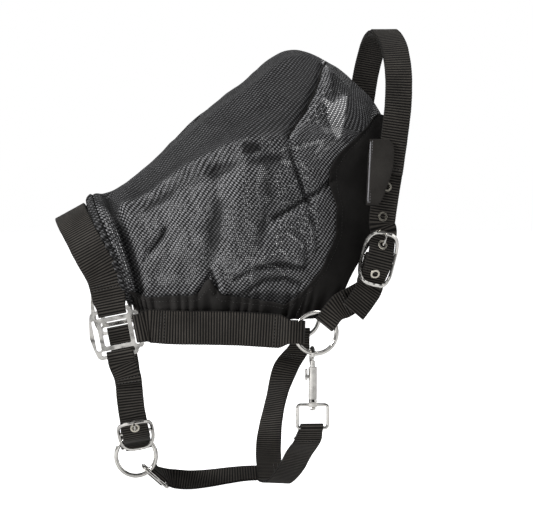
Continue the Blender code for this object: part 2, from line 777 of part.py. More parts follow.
def throat_strap():
    angle = math.radians(-98)
    width = (-1, 0, 0)
    x, y, z = ring_end(math.radians(-88), RING_Y, HALF_LAYER)
    lead = (x + 16 * math.cos(angle), y, z + 16 * math.sin(angle))
    pull = Vector((0.2, -0.44, 0.875)).normalized()
    eye_bar = Vector((SNAP_X - 1.2 * MM, SNAP_Y, EYE_BOTTOM))
    top = Vector(millimetres(eye_bar + pull.cross(Vector(width)).normalized() * HALF_LAYER))
    run = Run([
        (x, y, z, *width),
        (*lead, *width),
        (-87.5, 81.0, -333.0, -0.95, 0.1, 0.2),
        (-96.5, 73.0, -358.0, -0.85, 0.5, -0.2),
        (-104.5, 57.5, -385.0, -0.85, 0.5, -0.15),
        (-108.5, 40.0, -406.5, -0.97, 0.2, 0),
        (*(CROSSING - 18 * CROSS_DOWN), *width),
        (*(CROSSING - 13 * CROSS_DOWN), *width),
        (*(CROSSING + 13 * CROSS_DOWN), *width),
        (*(CROSSING + 18 * CROSS_DOWN), *width),
        (-103.0, -25.0, -433.0, -0.95, -0.28, 0.12),
        (-94.0, -46.0, -418.0, -0.955, -0.22, 0.19),
        (-87.6, -66.0, -400.0, -0.97, -0.15, 0.17),
        (*(top - 16 * pull - Vector((0.8, 0, 0))), -0.99, -0.06, 0.06),
        (*(top - 8 * pull), *width),
        (*(top - 4 * pull), *width),
        (*top, *width),
    ], square=False)
    ring_loop = Loop(HITCH_R, 30 * MM, hold=8.5 * MM, pinch=0.74)
    eye_loop = Loop(EYE_WIRE + GAP + WEB / 2, 14 * MM, pinch=0.84)
    webbing("throat_strap", webbing_path(run, NARROW, -1, ring_loop, eye_loop))


# Bolt snap --------------------------------------------------------------------------------------

EYE_W, EYE_WIRE = 28.6 * MM, 1.5 * MM
EYE_TOP = SNAP_TOP - TUBE_L - 5.6 * MM
EYE_BOTTOM = EYE_TOP - 22.0 * MM


def snap_eye():
    """Rectangular eye with a pierced boss that the rivet turns in."""
    middle = (EYE_TOP + EYE_BOTTOM) / 2
    loop = rounded_loop(EYE_W, EYE_TOP - EYE_BOTTOM, 2.6 * MM)
    eye = curve_mesh("snap_eye", [(loop, True)], CHROME, EYE_WIRE, sides=2)
    eye.matrix_world = frame_matrix(
        Vector((SNAP_X, SNAP_Y, middle)), Vector((1, 0, 0)), Vector((0, 0, 1)), Vector((0, -1, 0))
    )
    place = Matrix.Translation((SNAP_X, SNAP_Y, EYE_TOP)) @ Matrix.Rotation(math.radians(7), 4, "Z")
    boolean(eye, as_cutter(cylinder("eye_boss", CHROME, place, 4.2 * MM, 3.6 * MM)), "UNION")
    boolean(eye, as_cutter(cylinder("eye_bore", CHROME, place, 1.9 * MM, 12 * MM)))


def snap_rivet():
    """Headed pin, fast in the tube's foot, that the eye swivels on."""
    foot = SNAP_TOP - TUBE_L - 0.35 * MM - EYE_TOP
    profile = [
        (0, foot / MM), (3.6, foot / MM), (3.9, 2.8), (3.6, 2.1), (1.5, 2.1), (1.5, -2.05),
        (2.6, -2.3), (3.0, -3.2), (2.8, -4.2), (1.6, -5.2), (0, -5.4),
    ]
    vertices = [(r * MM, z * MM) for r, z in profile]
    obj = turned("snap_rivet", vertices, CHROME, Matrix.Translation((SNAP_X, SNAP_Y, EYE_TOP)), 16)
    open_profile(obj)


def open_profile(obj):
    """Leaves a profile that starts and ends on the axis open there, so that Screw closes it."""
    bm = bmesh.new()
    bm.from_mesh(obj.data)
    bm.edges.ensure_lookup_table()
    on_axis = [e for e in bm.edges if all(abs(v.co.x) < 1e-7 for v in e.verts)]
    bmesh.ops.delete(bm, geom=on_axis, context="EDGES_FACES")
    bm.to_mesh(obj.data)
    bm.free()


def snap_hook():
    """Slotted tube with a hook that rises from its inner side and curls over the ring."""
    top = SNAP_TOP
    profile = [
        (0, -TUBE_L + 2 * MM), (TUBE_BORE, -TUBE_L + 2 * MM), (TUBE_BORE, 0),
        (TUBE_R, 0), (TUBE_R, -TUBE_L), (0, -TUBE_L),
    ]
    place = Matrix.Translation((SNAP_X, SNAP_Y, top))
    tube = turned("snap_hook", profile, CHROME, place, 16)
    open_profile(tube)
    path = [(4.5, -2.8, 0.8), (5.4, 1.5, 0.9), (9.6, 3.6, 1.0)]
    for degrees in range(-30, 181, 30):
        a = math.radians(degrees)
        path.append((4.5 + 8.4 * math.cos(a), 9 + 8.4 * math.sin(a), 1.0 - 0.15 * (degrees > 120)))
    path[-1] = (-2.6, 10.6, 0.85)
    path.append((-0.8, 9.0, 0.75))
    points = [(0, a * MM, b * MM, r) for a, b, r in path]
    curl = curve_mesh("hook_curl", [(points, False)], CHROME, 2.1 * MM, sides=2)
    curl.matrix_world = place
    boolean(tube, as_cutter(curl), "UNION")
    slot_place = Matrix.Translation((SNAP_X - TUBE_R, SNAP_Y, top - 14 * MM))
    slot = box("hook_slot", CHROME, slot_place, (4 * MM, 2.8 * MM, 20 * MM))
    boolean(tube, as_cutter(slot))


def snap_bolt():
    """Sliding rod that closes the hook, with its thumb piece through the slot."""
    top, bottom = SNAP_TOP + 6.0 * MM, SNAP_TOP - 14.5 * MM
    place = Matrix.Translation((SNAP_X, SNAP_Y, (top + bottom) / 2))
    rod = cylinder("snap_bolt", CHROME, place, 2.2 * MM, top - bottom, 14)
    stem_place = Matrix.Translation((SNAP_X - 3.6 * MM, SNAP_Y, SNAP_TOP - 9.0 * MM))
    stem = box("bolt_stem", CHROME, stem_place, (5.0 * MM, 2.0 * MM, 3.0 * MM))
    boolean(rod, as_cutter(stem), "UNION")
    thumb_place = Matrix.Translation((SNAP_X - 6.0 * MM, SNAP_Y, SNAP_TOP - 7.0 * MM))
    thumb = box("bolt_thumb", CHROME, thumb_place, (2.0 * MM, 4.4 * MM, 11.0 * MM))
    soften = thumb.modifiers.new("Edges", "BEVEL")
    soften.width = 0.7 * MM
    soften.segments = 2
    boolean(rod, as_cutter(thumb), "UNION")


def snap_spring():
    low = SNAP_TOP - TUBE_L + 2.9 * MM
    high = SNAP_TOP - 15.4 * MM
    turns, per_turn = 5, 10
    points = []
    for k in range(turns * per_turn + 1):
        a = 2 * math.pi * k / per_turn
        points.append((1.75 * MM * math.cos(a), 1.75 * MM * math.sin(a), (high - low) * k / (turns * per_turn)))
    spring = curve_mesh("snap_spring", [(points, False)], SPRING_STEEL, 0.35 * MM, sides=1)
    spring.matrix_world = Matrix.Translation((SNAP_X, SNAP_Y, low))


# Mask -------------------------------------------------------------------------------------------

# Each arch crosses the head from its crest (at Y = 0) by the brow and the cheek to the lower edge,
# as (x, half width, z) in millimetres. The first lies under the noseband, the last at the crown strap.
ARCHES = [
    ((-291.0, 0.0, -174.0), (-284.0, 45.0, -190.5), (-268.0, 56.5, -222.0), (-252.5, 57.0, -252.0)),
    ((-279.5, 0.0, -157.0), (-272.5, 47.5, -178.0), (-258.0, 58.0, -216.0), (-242.0, 59.0, -261.0)),
    ((-258.0, 0.0, -148.5), (-248.5, 46.5, -168.0), (-237.5, 61.0, -212.0), (-226.0, 61.5, -266.0)),
    ((-225.0, 0.0, -123.0), (-209.0, 58.0, -139.5), (-202.0, 75.0, -200.0), (-200.0, 63.5, -268.0)),
    ((-186.0, 0.0, -85.0), (-170.0, 76.0, -111.0), (-165.5, 91.0, -190.0), (-167.5, 66.5, -269.0)),
    ((-139.0, 0.0, -46.5), (-129.5, 82.0, -88.0), (-129.0, 97.0, -187.0), (-135.0, 69.5, -270.0)),
    ((-95.5, 0.0, -15.0), (-87.5, 72.0, -75.5), (-91.0, 92.0, -187.0), (-102.0, 72.5, -270.5)),
    ((-47.0, 0.0, -20.0), (-44.0, 60.0, -75.0), (-60.5, 80.0, -188.0), (-77.0, 74.5, -270.5)),
    ((-3.0, 0.0, -30.0), (-7.0, 53.0, -85.0), (-22.5, 68.0, -190.0), (-57.0, 73.0, -266.0)),
]
HEM_END = 0.115  # where the doubled nose hem stops, as a share of the length
REAR_START = 0.87  # where the mesh gives way to the smooth rear panel
PEAK = 0.755  # the top is open for the ears and poll behind this
# The mesh's rows from the lower border up, as (share of the half arch, where the mesh ends)
ROWS = [
    (0.92, 0.87), (0.85, 0.87), (0.78, 0.87), (0.71, 0.87), (0.64, 0.872), (0.57, 0.868),
    (0.505, 0.862), (0.455, 0.878), (0.425, 0.905), (0.40, 0.95), (0.375, 1.0), (0.32, 1.0),
    (0.26, 1.0), (0.20, 1.0), (0.14, 1.0), (0.07, 1.0), (0.0012, 1.0),
]
REAR_ROWS = 10  # rows that the rear panel shares with the mesh


def mask_point(u, v):
    """The mask's surface: u runs from noseband to crown strap, v from crest (0) to lower edge (1 or -1)."""
    side = -1 if v < 0 else 1
    place = u * (len(ARCHES) - 1)
    i = min(int(place), len(ARCHES) - 2)
    rows = []
    for k in (i - 1, i, i + 1, i + 2):
        rows.append(arch_point(ARCHES[min(max(k, 0), len(ARCHES) - 1)], abs(v)))
    point = catmull(*rows, place - i)
    return Vector((point.x, side * point.y, point.z)) * MM


def arch_point(arch, v):
    crest, brow, cheek, edge = (Vector(p) for p in arch)
    mirrored = Vector((brow.x, -brow.y, brow.z))
    line = [mirrored, crest, brow, cheek, edge, 2 * edge - cheek]
    place = v * 3
    i = min(int(place), 2)
    return catmull(*line[i : i + 4], place - i)


def rim(u):
    """The least |v| of the mesh: 0 on the face, and the edge of the ear opening behind the peak."""
    return 1.3 * max(u - PEAK, 0.0)


def panel(name, look, thickness, grid):
    """A shell over the mask's surface, through a grid of (u, v)."""
    vertices = [mask_point(u, v) for row in grid for u, v in row]
    n = len(grid[0])
    faces = []
    for i in range(1, len(grid)):
        for j in range(1, n):
            faces.append(((i - 1) * n + j - 1, (i - 1) * n + j, i * n + j, i * n + j - 1))
    return solidify(mesh_object(name, vertices, faces, look), thickness)


def spread(low, high, count):
    return [low + (high - low) * k / count for k in range(count + 1)]


def mask_panels():
    du, dv = 0.0016, 0.0042
    hem = [[(u, v) for u in spread(0, HEM_END - du, 3)] for v in spread(-0.985, 0.985, 26)]
    panel("nose_hem", MESH_CLOTH, HEM_T, hem)
    turn = ROWS[REAR_ROWS][0]
    for side, label in ((-1, "near"), (1, "off")):
        mesh, rear = [], []
        for v, end in ROWS:
            row = []
            for u in spread(HEM_END + du, end - du, 17):
                top = rim(u)
                row.append((u, side * (v if v >= turn else top + (turn - top) * v / turn)))
            mesh.append(row)
        panel(label + "_mesh", MESH_CLOTH, MESH_T, mesh)
        below = [(0.998, REAR_START), (0.96, REAR_START)]
        for v, end in below + ROWS[:REAR_ROWS]:
            rear.append([(u, side * v) for u in spread(end + du, 1.0, 3)])
        panel(label + "_rear_panel", BORDER_CLOTH, BORDER_T, rear)
        columns = spread(HEM_END + du, REAR_START - du, 16)
        border = [[(u, side * v) for u in columns] for v in (0.998, 0.96, ROWS[0][0] + dv)]
        panel(label + "_lower_border", BORDER_CLOTH, BORDER_T, border)


def keeper():
    """Two leaves that hold the mask's rear edge to the crown strap: the outer one opens."""
    low, high = -163.0, -101.0
    left = -25.0
    reach = (9.0, 17.0, 21.5, 23.0, 23.0, 22.5, 19.0)  # width of the leaf, from its foot up

    def leaf(name, reach_in, reach_out):
        """The leaf's distance from the crown strap's line, at its hinge and at its free edge."""
        vertices, faces = [], []
        rows, columns = 6, 4
        for i in range(rows + 1):
            z = low + (high - low) * i / rows
            lean = (z - low) / (high - low)
            across = reach[i]
            for j in range(columns + 1):
                t = j / columns
                y = -(78.6 - 10.2 * lean) - reach_in - (reach_out - reach_in) * t
                vertices.append(Vector((left + across * t + 4.0 * lean, y, z)) * MM)
                if i and j:
                    n = columns + 1
                    faces.append(((i - 1) * n + j - 1, (i - 1) * n + j, i * n + j, i * n + j - 1))
        return solidify(mesh_object(name, vertices, faces, BORDER_CLOTH), 1.8 * MM)

    leaf("keeper_base", -4.6, -4.0)
    flap = leaf("keeper_flap", 7.0, 6.6)
    set_origin(flap, Vector((left + 2.0, -73.5 - 7.0, (low + high) / 2)) * MM)


def build():
    halter_square("near_square", -1)
    halter_square("off_square", 1)
    noseband()
    cheek_strap("near_cheek_strap", False)
    cheek_strap("off_cheek_strap", True)
    ring("near_throat_ring", Vector((RING_X, -RING_Y, RING_Z)), (0, -1, 0))
    ring("off_throat_ring", Vector((RING_X, RING_Y, RING_Z)), (0, -1, 0))
    ring("chin_ring", CHIN_RING, (0, -1, 0))
    crown_strap()
    crown_billet()
    chin_straps()
    buckle("crown", crown_buckle_axes())
    buckle("chin", chin_buckle_axes())
    link_loop()
    connector_strap()
    throat_strap()
    snap_eye()
    snap_rivet()
    snap_hook()
    snap_bolt()
    snap_spring()
    mask_panels()
    keeper()


for old in list(bpy.data.objects):
    bpy.data.objects.remove(old)
PARTS = make_collection(NAME)
CUTTERS = make_collection(NAME + "_cutters")
build()
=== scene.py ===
"""Looks of a fly mask headcollar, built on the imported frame.

Same frame as the CAD, in metres: +Z up, the nose towards -X, the near side towards -Y.
The straps repeat the CAD's routes, and the mask repeats its surface, with folds and knit added.
"""

import math

import bmesh
import bpy
import numpy as np
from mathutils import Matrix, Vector, noise


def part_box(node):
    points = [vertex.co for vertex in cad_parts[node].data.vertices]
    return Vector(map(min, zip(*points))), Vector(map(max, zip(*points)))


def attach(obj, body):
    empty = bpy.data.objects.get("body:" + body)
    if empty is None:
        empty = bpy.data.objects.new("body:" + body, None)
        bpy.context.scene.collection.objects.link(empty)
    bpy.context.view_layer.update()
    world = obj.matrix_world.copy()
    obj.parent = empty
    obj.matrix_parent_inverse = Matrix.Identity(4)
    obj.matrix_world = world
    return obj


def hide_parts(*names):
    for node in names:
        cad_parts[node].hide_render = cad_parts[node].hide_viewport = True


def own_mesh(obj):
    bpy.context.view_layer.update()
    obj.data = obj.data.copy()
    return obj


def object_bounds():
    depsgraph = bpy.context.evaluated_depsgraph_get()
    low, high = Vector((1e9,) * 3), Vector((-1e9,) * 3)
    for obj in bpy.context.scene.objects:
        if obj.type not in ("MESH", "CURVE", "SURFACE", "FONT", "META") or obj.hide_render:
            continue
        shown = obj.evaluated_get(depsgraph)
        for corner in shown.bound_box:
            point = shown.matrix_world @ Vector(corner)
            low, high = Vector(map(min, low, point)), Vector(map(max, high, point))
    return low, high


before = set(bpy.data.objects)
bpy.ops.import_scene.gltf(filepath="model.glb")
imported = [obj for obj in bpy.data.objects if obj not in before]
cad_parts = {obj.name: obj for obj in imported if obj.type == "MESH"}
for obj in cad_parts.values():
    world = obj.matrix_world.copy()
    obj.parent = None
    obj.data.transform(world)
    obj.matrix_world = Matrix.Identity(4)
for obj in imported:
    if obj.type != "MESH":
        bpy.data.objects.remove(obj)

CAD_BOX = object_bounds()
MM = 0.001
ROOT = "headcollar"

# Sizes shared with the CAD ------------------------------------------------------------------------

WIDE, NARROW, WEB, GAP = 32.0 * MM, 25.4 * MM, 2.5 * MM, 0.35 * MM
HALF_LAYER = (WEB + GAP) / 2
EASE = 13.0 * MM
RING_R, RING_WIRE = 19.4 * MM, 2.1 * MM
RING_X, RING_Y, RING_Z = -73.0 * MM, 84.0 * MM, -283.0 * MM
CHIN_RING = Vector((-241.6, -6.0, -409.5)) * MM
HITCH_R = RING_WIRE + GAP + WEB / 2
RING_INSET = 4.3 * MM
SQUARE_X, SQUARE_Y, SQUARE_Z = -260.6 * MM, 66.0 * MM, -283.0 * MM
SQUARE_TILT = math.radians(11.0)
OFF_RISE = 11.0 * MM
WINDOW_W, WINDOW_H = 25.0 * MM, 23.0 * MM
INNER_BAR, OUTER_BAR, SLOT = 4.0 * MM, 3.2 * MM, 4.5 * MM
SLOT_PINCH, BAR_R = 0.84, 3.95 * MM
CENTRE_BAR = 1.5 * MM
BAR_LAP = 9 * MM
BAR_LOOP = CENTRE_BAR + 0.5 * MM + WEB / 2
HOLE_AT = 13.0 * MM
SNAP_X, SNAP_Y = -76.5 * MM, -88.5 * MM
SNAP_TOP = RING_Z - RING_R - 12.3 * MM
EYE_WIRE = 1.5 * MM
EYE_BOTTOM = SNAP_TOP - 57.6 * MM
LINK_ALONG = Vector((0.75, 0, -0.66)).normalized()
LINK_CENTRE = CHIN_RING + Vector((18.6, 0.0, -20.0)) * MM
LINK_W, LINK_WIRE = 15.5 * MM, 1.5 * MM
CROSSING = Vector((-109.5, 8.0, -427.5))  # where the connector strap meets the throat strap, in mm
CROSS_DOWN = Vector((0.0, -0.92, -0.39)).normalized()

# Sizes of the looks alone
RIB_PITCH, RIB_STEPS, RIB_DEPTH = 2.6 * MM, 4, 0.3 * MM
YARN_PITCH, KNIT_PITCH, TWILL_PITCH = 1.1 * MM, 2.8 * MM, 0.9 * MM
SELVEDGE = 0.93  # where the ribs end, as a share of the half width
SEWN_WIDTH, STITCH_PITCH = 0.86, 3.0 * MM
STITCH_LENGTH, STITCH_THICK, STITCH_SUNK = 2.3 * MM, 0.55 * MM, 0.05 * MM
HOLE_R = 3.4 * MM  # in the webbing, under an eyelet
WORN_EDGE = 0.55 * MM  # how far metal edges and the keeper's edges are rounded


# Stage --------------------------------------------------------------------------------------------


def add(name, data, place=(0, 0, 0), target=None):
    """A new object of the scene, which faces the target where one is given."""
    obj = bpy.data.objects.new(name, data)
    obj.location = place
    if target:
        obj.rotation_euler = (Vector(target) - Vector(place)).to_track_quat("-Z", "Y").to_euler()
    bpy.context.scene.collection.objects.link(obj)
    return obj


def camera():
    data = bpy.data.cameras.new("camera")
    data.lens, data.sensor_width = 138.1, 36.0
    bpy.context.scene.camera = add("camera", data, (-0.2597, -1.9915, -0.1058), (-0.1135, 0.0, -0.2174))


def studio():
    """Three lamps, and a room of soft patches that only the metal and the cloth see."""
    scene = bpy.context.scene
    scene.view_settings.view_transform = "Standard"
    for name, place, size, power in (
        ("key", (-2.1, -0.95, 0.9), 0.7, 40),
        ("fill", (1.9, -1.2, 0.2), 1.2, 3),
        ("top", (0.3, -0.2, 2.0), 0.8, 12),
    ):
        data = bpy.data.lights.new(name, "AREA")
        data.shape = "DISK"
        data.size, data.energy = size, power
        add(name, data, place, (-0.15, 0.0, -0.2))
    scene.world = bpy.data.worlds.new("studio")
    scene.world.use_nodes = True
    scene.world.node_tree.nodes.clear()
    nodes = Nodes(scene.world.node_tree)
    place = nodes.node("ShaderNodeTexCoord").outputs["Generated"]
    room = nodes.node("ShaderNodeTexNoise", {"Vector": place, "Scale": 5.0, "Detail": 1.5})
    tones = nodes.node("ShaderNodeValToRGB", {0: room.outputs["Fac"]})
    stops = ((0.43, 0.02), (0.50, 0.15), (0.54, 0.9), (0.62, 3.0))
    tones.color_ramp.elements.new(0.5)
    tones.color_ramp.elements.new(0.55)
    for element, (position, level) in zip(tones.color_ramp.elements, stops):
        element.position, element.color = position, (level, level, level, 1)
    soft = nodes.node("ShaderNodeBackground", {"Color": tones.outputs[0], "Strength": 0.3})
    white = nodes.node("ShaderNodeBackground", {"Color": (1, 1, 1, 1)})
    camera_ray = nodes.node("ShaderNodeLightPath").outputs["Is Camera Ray"]
    mix = nodes.node("ShaderNodeMixShader", {0: camera_ray, 1: soft.outputs[0], 2: white.outputs[0]})
    nodes.node("ShaderNodeOutputWorld", {0: mix.outputs[0]})


def floor():
    half, z = 6.0, CAD_BOX[0].z - 0.004
    mesh = bpy.data.meshes.new("floor")
    corners = [(-half, -half, z), (half, -half, z), (half, half, z), (-half, half, z)]
    mesh.from_pydata(corners, [], [(0, 1, 2, 3)])
    look = Look("floor_white")
    camera_ray = look.node("ShaderNodeLightPath").outputs["Is Camera Ray"]
    look.set(Base_Color=(0.9, 0.9, 0.9, 1), Roughness=0.9)
    look.set(Emission_Color=(1, 1, 1, 1), Emission_Strength=camera_ray)
    mesh.materials.append(look.material)
    add("floor", mesh)


# Materials ----------------------------------------------------------------------------------------


class Nodes:
    """A node tree, with short calls to add and link its nodes."""

    def __init__(self, tree):
        self.tree = tree

    def put(self, socket, value):
        if isinstance(value, bpy.types.NodeSocket):
            self.tree.links.new(value, socket)
        else:
            socket.default_value = value

    def node(self, kind, inputs=(), **settings):
        node = self.tree.nodes.new(kind)
        for key, value in settings.items():
            setattr(node, key, value)
        for key, value in dict(inputs).items():
            self.put(node.inputs[key], value)
        return node


class Look(Nodes):
    """A material round a Principled shader."""

    def __init__(self, name):
        self.material = bpy.data.materials.new(name)
        self.material.use_nodes = True
        super().__init__(self.material.node_tree)
        self.shader = self.tree.nodes["Principled BSDF"]

    def math(self, operation, a, b=0.0, clamp=False):
        return self.node("ShaderNodeMath", {0: a, 1: b}, operation=operation, use_clamp=clamp).outputs[0]

    def product(self, first, *others, clamp=False):
        for other in others:
            first = self.math("MULTIPLY", first, other, clamp=clamp and other is others[-1])
        return first

    def mapped(self, value, low, high, to_low=0.0, to_high=1.0):
        inputs = {0: value, 1: low, 2: high, 3: to_low, 4: to_high}
        return self.node("ShaderNodeMapRange", inputs).outputs[0]

    def blend(self, factor, a, b):
        return self.node("ShaderNodeMix", {"Factor": factor, 6: a, 7: b}, data_type="RGBA").outputs[2]

    def noise(self, scale, detail=2.0, roughness=0.5):
        place = self.node("ShaderNodeTexCoord").outputs["Object"]
        inputs = {"Vector": place, "Scale": scale, "Detail": detail, "Roughness": roughness}
        return self.node("ShaderNodeTexNoise", inputs).outputs["Fac"]

    def attribute(self, name):
        """The three values that a cloth's vertices carry."""
        node = self.node("ShaderNodeAttribute", attribute_name=name)
        return self.node("ShaderNodeSeparateXYZ", {0: node.outputs["Vector"]}).outputs

    def cosine(self, value, pitch, slip=0.0):
        turned = self.math("MULTIPLY", value, 2 * math.pi / pitch)
        return self.math("COSINE", self.math("ADD", turned, slip))

    def bump(self, height, distance, strength=1.0):
        node = self.node("ShaderNodeBump", {"Height": height, "Distance": distance, "Strength": strength})
        self.put(self.shader.inputs["Normal"], node.outputs[0])

    def set(self, **values):
        for key, value in values.items():
            self.put(self.shader.inputs[key.replace("_", " ")], value)


def webbing_look():
    """Ribbed black polypropylene webbing: weft ribs across it, split by warp yarns, with plain selvedges. The
    rib crests are painted lighter, as a painted highlight.
    """
    look = Look("ribbed_webbing")
    across, along, edge = look.attribute("weave")
    # The rib crests get a painted highlight: crest lightens the colour, and it also drives the bump below.
    rib = look.mapped(look.cosine(along, RIB_PITCH), -0.6, 1.0)
    yarn = look.mapped(look.cosine(across, YARN_PITCH), -1.0, 1.0, 0.72, 1.0)
    crest = look.product(rib, yarn)
    worn = look.mapped(look.noise(45.0, 3.0), 0.35, 0.7, 0.7, 1.15)
    fuzz = look.mapped(look.noise(1400.0), 0.3, 0.7, 0.75, 1.25)
    lit = look.product(crest, worn, fuzz, clamp=True)
    # The painted highlight fades out on the plain selvedges.
    lit = look.product(lit, look.mapped(edge, 0.0, 0.09, 0.25, 1.0))
    # The light end of the blend is the painted highlight colour; worn and fuzz vary it at random.
    colour = look.blend(lit, (0.0018, 0.0016, 0.0014, 1), (0.088, 0.079, 0.069, 1))
    look.set(Base_Color=colour, Roughness=0.62, Specular_IOR_Level=0.16)
    look.set(Sheen_Weight=0.06, Sheen_Roughness=0.45)
    look.bump(look.math("ADD", look.product(crest, 0.7), look.product(fuzz, 0.3)), 0.0003, 0.8)
    return look.material


def knit_look():
    """Open warp knit. The third value of its attribute says how much a second layer closes it, and how much
    darker the knit is painted there, as painted shade.
    """
    look = Look("knit_mesh")
    x, y, doubled_and_shaded = look.attribute("cloth")
    diagonal = KNIT_PITCH * 1.414
    slip = look.mapped(look.noise(60.0), 0.3, 0.7, -1.2, 1.2)
    down = look.cosine(look.math("ADD", x, y), diagonal, slip)
    up = look.cosine(look.math("SUBTRACT", x, y), diagonal)
    holes = look.math("ADD", down, up)
    closed = look.mapped(doubled_and_shaded, 0.0, 1.0, 1.02, 2.2)
    alpha = look.mapped(look.math("SUBTRACT", holes, closed), -0.12, 0.12, 1.0, 0.0)
    # Thread crests are painted light and thread edges by the openings dark: painted highlight and shade,
    # which also drive the bump.
    relief_and_painted_light = look.math("POWER", look.mapped(holes, 0.6, -1.6), 1.5)
    # The glint noise paints small glints on the threads.
    glint = look.mapped(look.noise(900.0), 0.35, 0.65, 0.4, 1.3)
    zone = look.mapped(look.noise(22.0, 3.0), 0.3, 0.7, 0.75, 1.2)
    # Closed and creased places are painted darker, down to 0.16 of the colour: painted shade.
    painted_layer_shade = look.mapped(doubled_and_shaded, 0.0, 1.0, 1.0, 0.16)
    lit = look.product(relief_and_painted_light, glint, zone, painted_layer_shade, clamp=True)
    # The light end of the blend is the painted highlight colour of the threads.
    colour = look.blend(lit, (0.004, 0.004, 0.0044, 1), (0.44, 0.44, 0.455, 1))
    look.set(Base_Color=colour, Roughness=0.55, Specular_IOR_Level=0.2, Alpha=alpha)
    look.set(Sheen_Weight=0.05, Sheen_Roughness=0.4)
    look.bump(look.product(relief_and_painted_light, glint), 0.0003, 0.7)
    return look.material


def cloth_look(name, dark, light):
    """Close-woven binding cloth with a fine twill and soft wear."""
    look = Look(name)
    x, y, _ = look.attribute("cloth")
    twill = look.mapped(look.cosine(look.math("ADD", x, y), TWILL_PITCH), -1, 1, 0.6, 1.0)
    worn = look.mapped(look.noise(28.0, 4.0), 0.3, 0.7)
    fuzz = look.mapped(look.noise(1600.0), 0.3, 0.7, 0.7, 1.2)
    colour = look.blend(look.product(worn, fuzz, twill, clamp=True), dark, light)
    look.set(Base_Color=colour, Roughness=0.75, Specular_IOR_Level=0.12)
    look.set(Sheen_Weight=0.05, Sheen_Roughness=0.5)
    look.bump(look.math("ADD", twill, fuzz), 0.0002, 0.5)
    return look.material


def metal_look(name, colour, rough_low, rough_high):
    """Plated metal: polished faces, faint tumbling marks, and dulled patches."""
    look = Look(name)
    smear = look.noise(70.0, 4.0, 0.6)
    fine = look.math("ADD", look.noise(1800.0), look.product(look.noise(85.0, 1.0), 55.0))
    worn = look.mapped(smear, 0.35, 0.7, 1.0, 0.75)
    shade = look.node("ShaderNodeVectorMath", {0: colour, "Scale": worn}, operation="SCALE").outputs[0]
    rough = look.mapped(smear, 0.3, 0.75, rough_low, rough_high)
    look.set(Base_Color=shade, Metallic=1.0, Roughness=rough)
    look.bump(fine, 0.00004, 0.35)
    return look.material


def thread_look(name, dark, light):
    look = Look(name)
    twist = look.mapped(look.noise(2500.0), 0.35, 0.65)
    look.set(Base_Color=look.blend(twist, dark, light), Roughness=0.55, Sheen_Weight=0.3)
    look.bump(twist, 0.0001, 0.6)
    return look.material


# Strap routes, as in the CAD ------------------------------------------------------------------------


def catmull(a, b, c, d, t):
    return 0.5 * (2 * b + (c - a) * t + (2 * a - 5 * b + 4 * c - d) * t * t + (3 * b - a - 3 * c + d) * t**3)


def smooth_fall(distance, hold):
    """1 within hold of a loop's end, then down to 0 over EASE."""
    t = min(max((distance - hold) / EASE, 0.0), 1.0)
    return 1.0 - t * t * (3.0 - 2.0 * t)


class Run:
    """A strap's middle line, through stations of (x, y, z, width x, y, z) in millimetres."""

    STEP = 1.5 * MM

    def __init__(self, stations, square=True):
        """Unless square, the widths may slant."""
        self.square = square
        points = [Vector(s[:3]) * MM for s in stations]
        widths = [Vector(s[3:]).normalized() for s in stations]
        points = [2 * points[0] - points[1], *points, 2 * points[-1] - points[-2]]
        widths = [widths[0], *widths, widths[-1]]
        self.points, self.widths = [], []
        for i in range(1, len(points) - 2):
            count = max(2, math.ceil((points[i + 1] - points[i]).length / self.STEP))
            for k in range(count + (i == len(points) - 3)):
                t = k / count
                self.points.append(catmull(*points[i - 1 : i + 3], t))
                self.widths.append(catmull(*widths[i - 1 : i + 3], t))
        self.along = [0.0]
        for a, b in zip(self.points, self.points[1:]):
            self.along.append(self.along[-1] + (b - a).length)
        self.length = self.along[-1]

    def at(self, distance):
        """The place at a distance, with the direction, the width's direction and the outward normal there."""
        distance = min(max(distance, 0.0), self.length)
        i = 0
        while i < len(self.along) - 2 and self.along[i + 1] < distance:
            i += 1
        t = (distance - self.along[i]) / (self.along[i + 1] - self.along[i])
        place = self.points[i].lerp(self.points[i + 1], t)
        before = self.points[max(i - 1, 0)]
        after = self.points[min(i + 2, len(self.points) - 1)]
        direction = (after - before).normalized()
        width = self.widths[i].lerp(self.widths[i + 1], t)
        if self.square:
            width = width - width.dot(direction) * direction
        width = width.normalized()
        return place, direction, width, direction.cross(width).normalized()

    def nearest(self, target):
        return min(zip(self.points, self.along), key=lambda pair: (pair[0] - target).length)[1]


class Loop:
    """A strap's turn round a bar or a ring."""

    def __init__(self, radius, lap, hold=0.0, pinch=1.0):
        self.radius, self.lap, self.hold, self.pinch = radius, lap, hold, pinch


def half_turn(pivot, radius, start, onward, width, steps=18):
    """Points of a half circle from pivot + start * radius, by way of onward."""
    points = []
    for k in range(1, steps):
        angle = math.pi * k / steps
        points.append((pivot + radius * (start * math.cos(angle) + onward * math.sin(angle)), width))
    return points


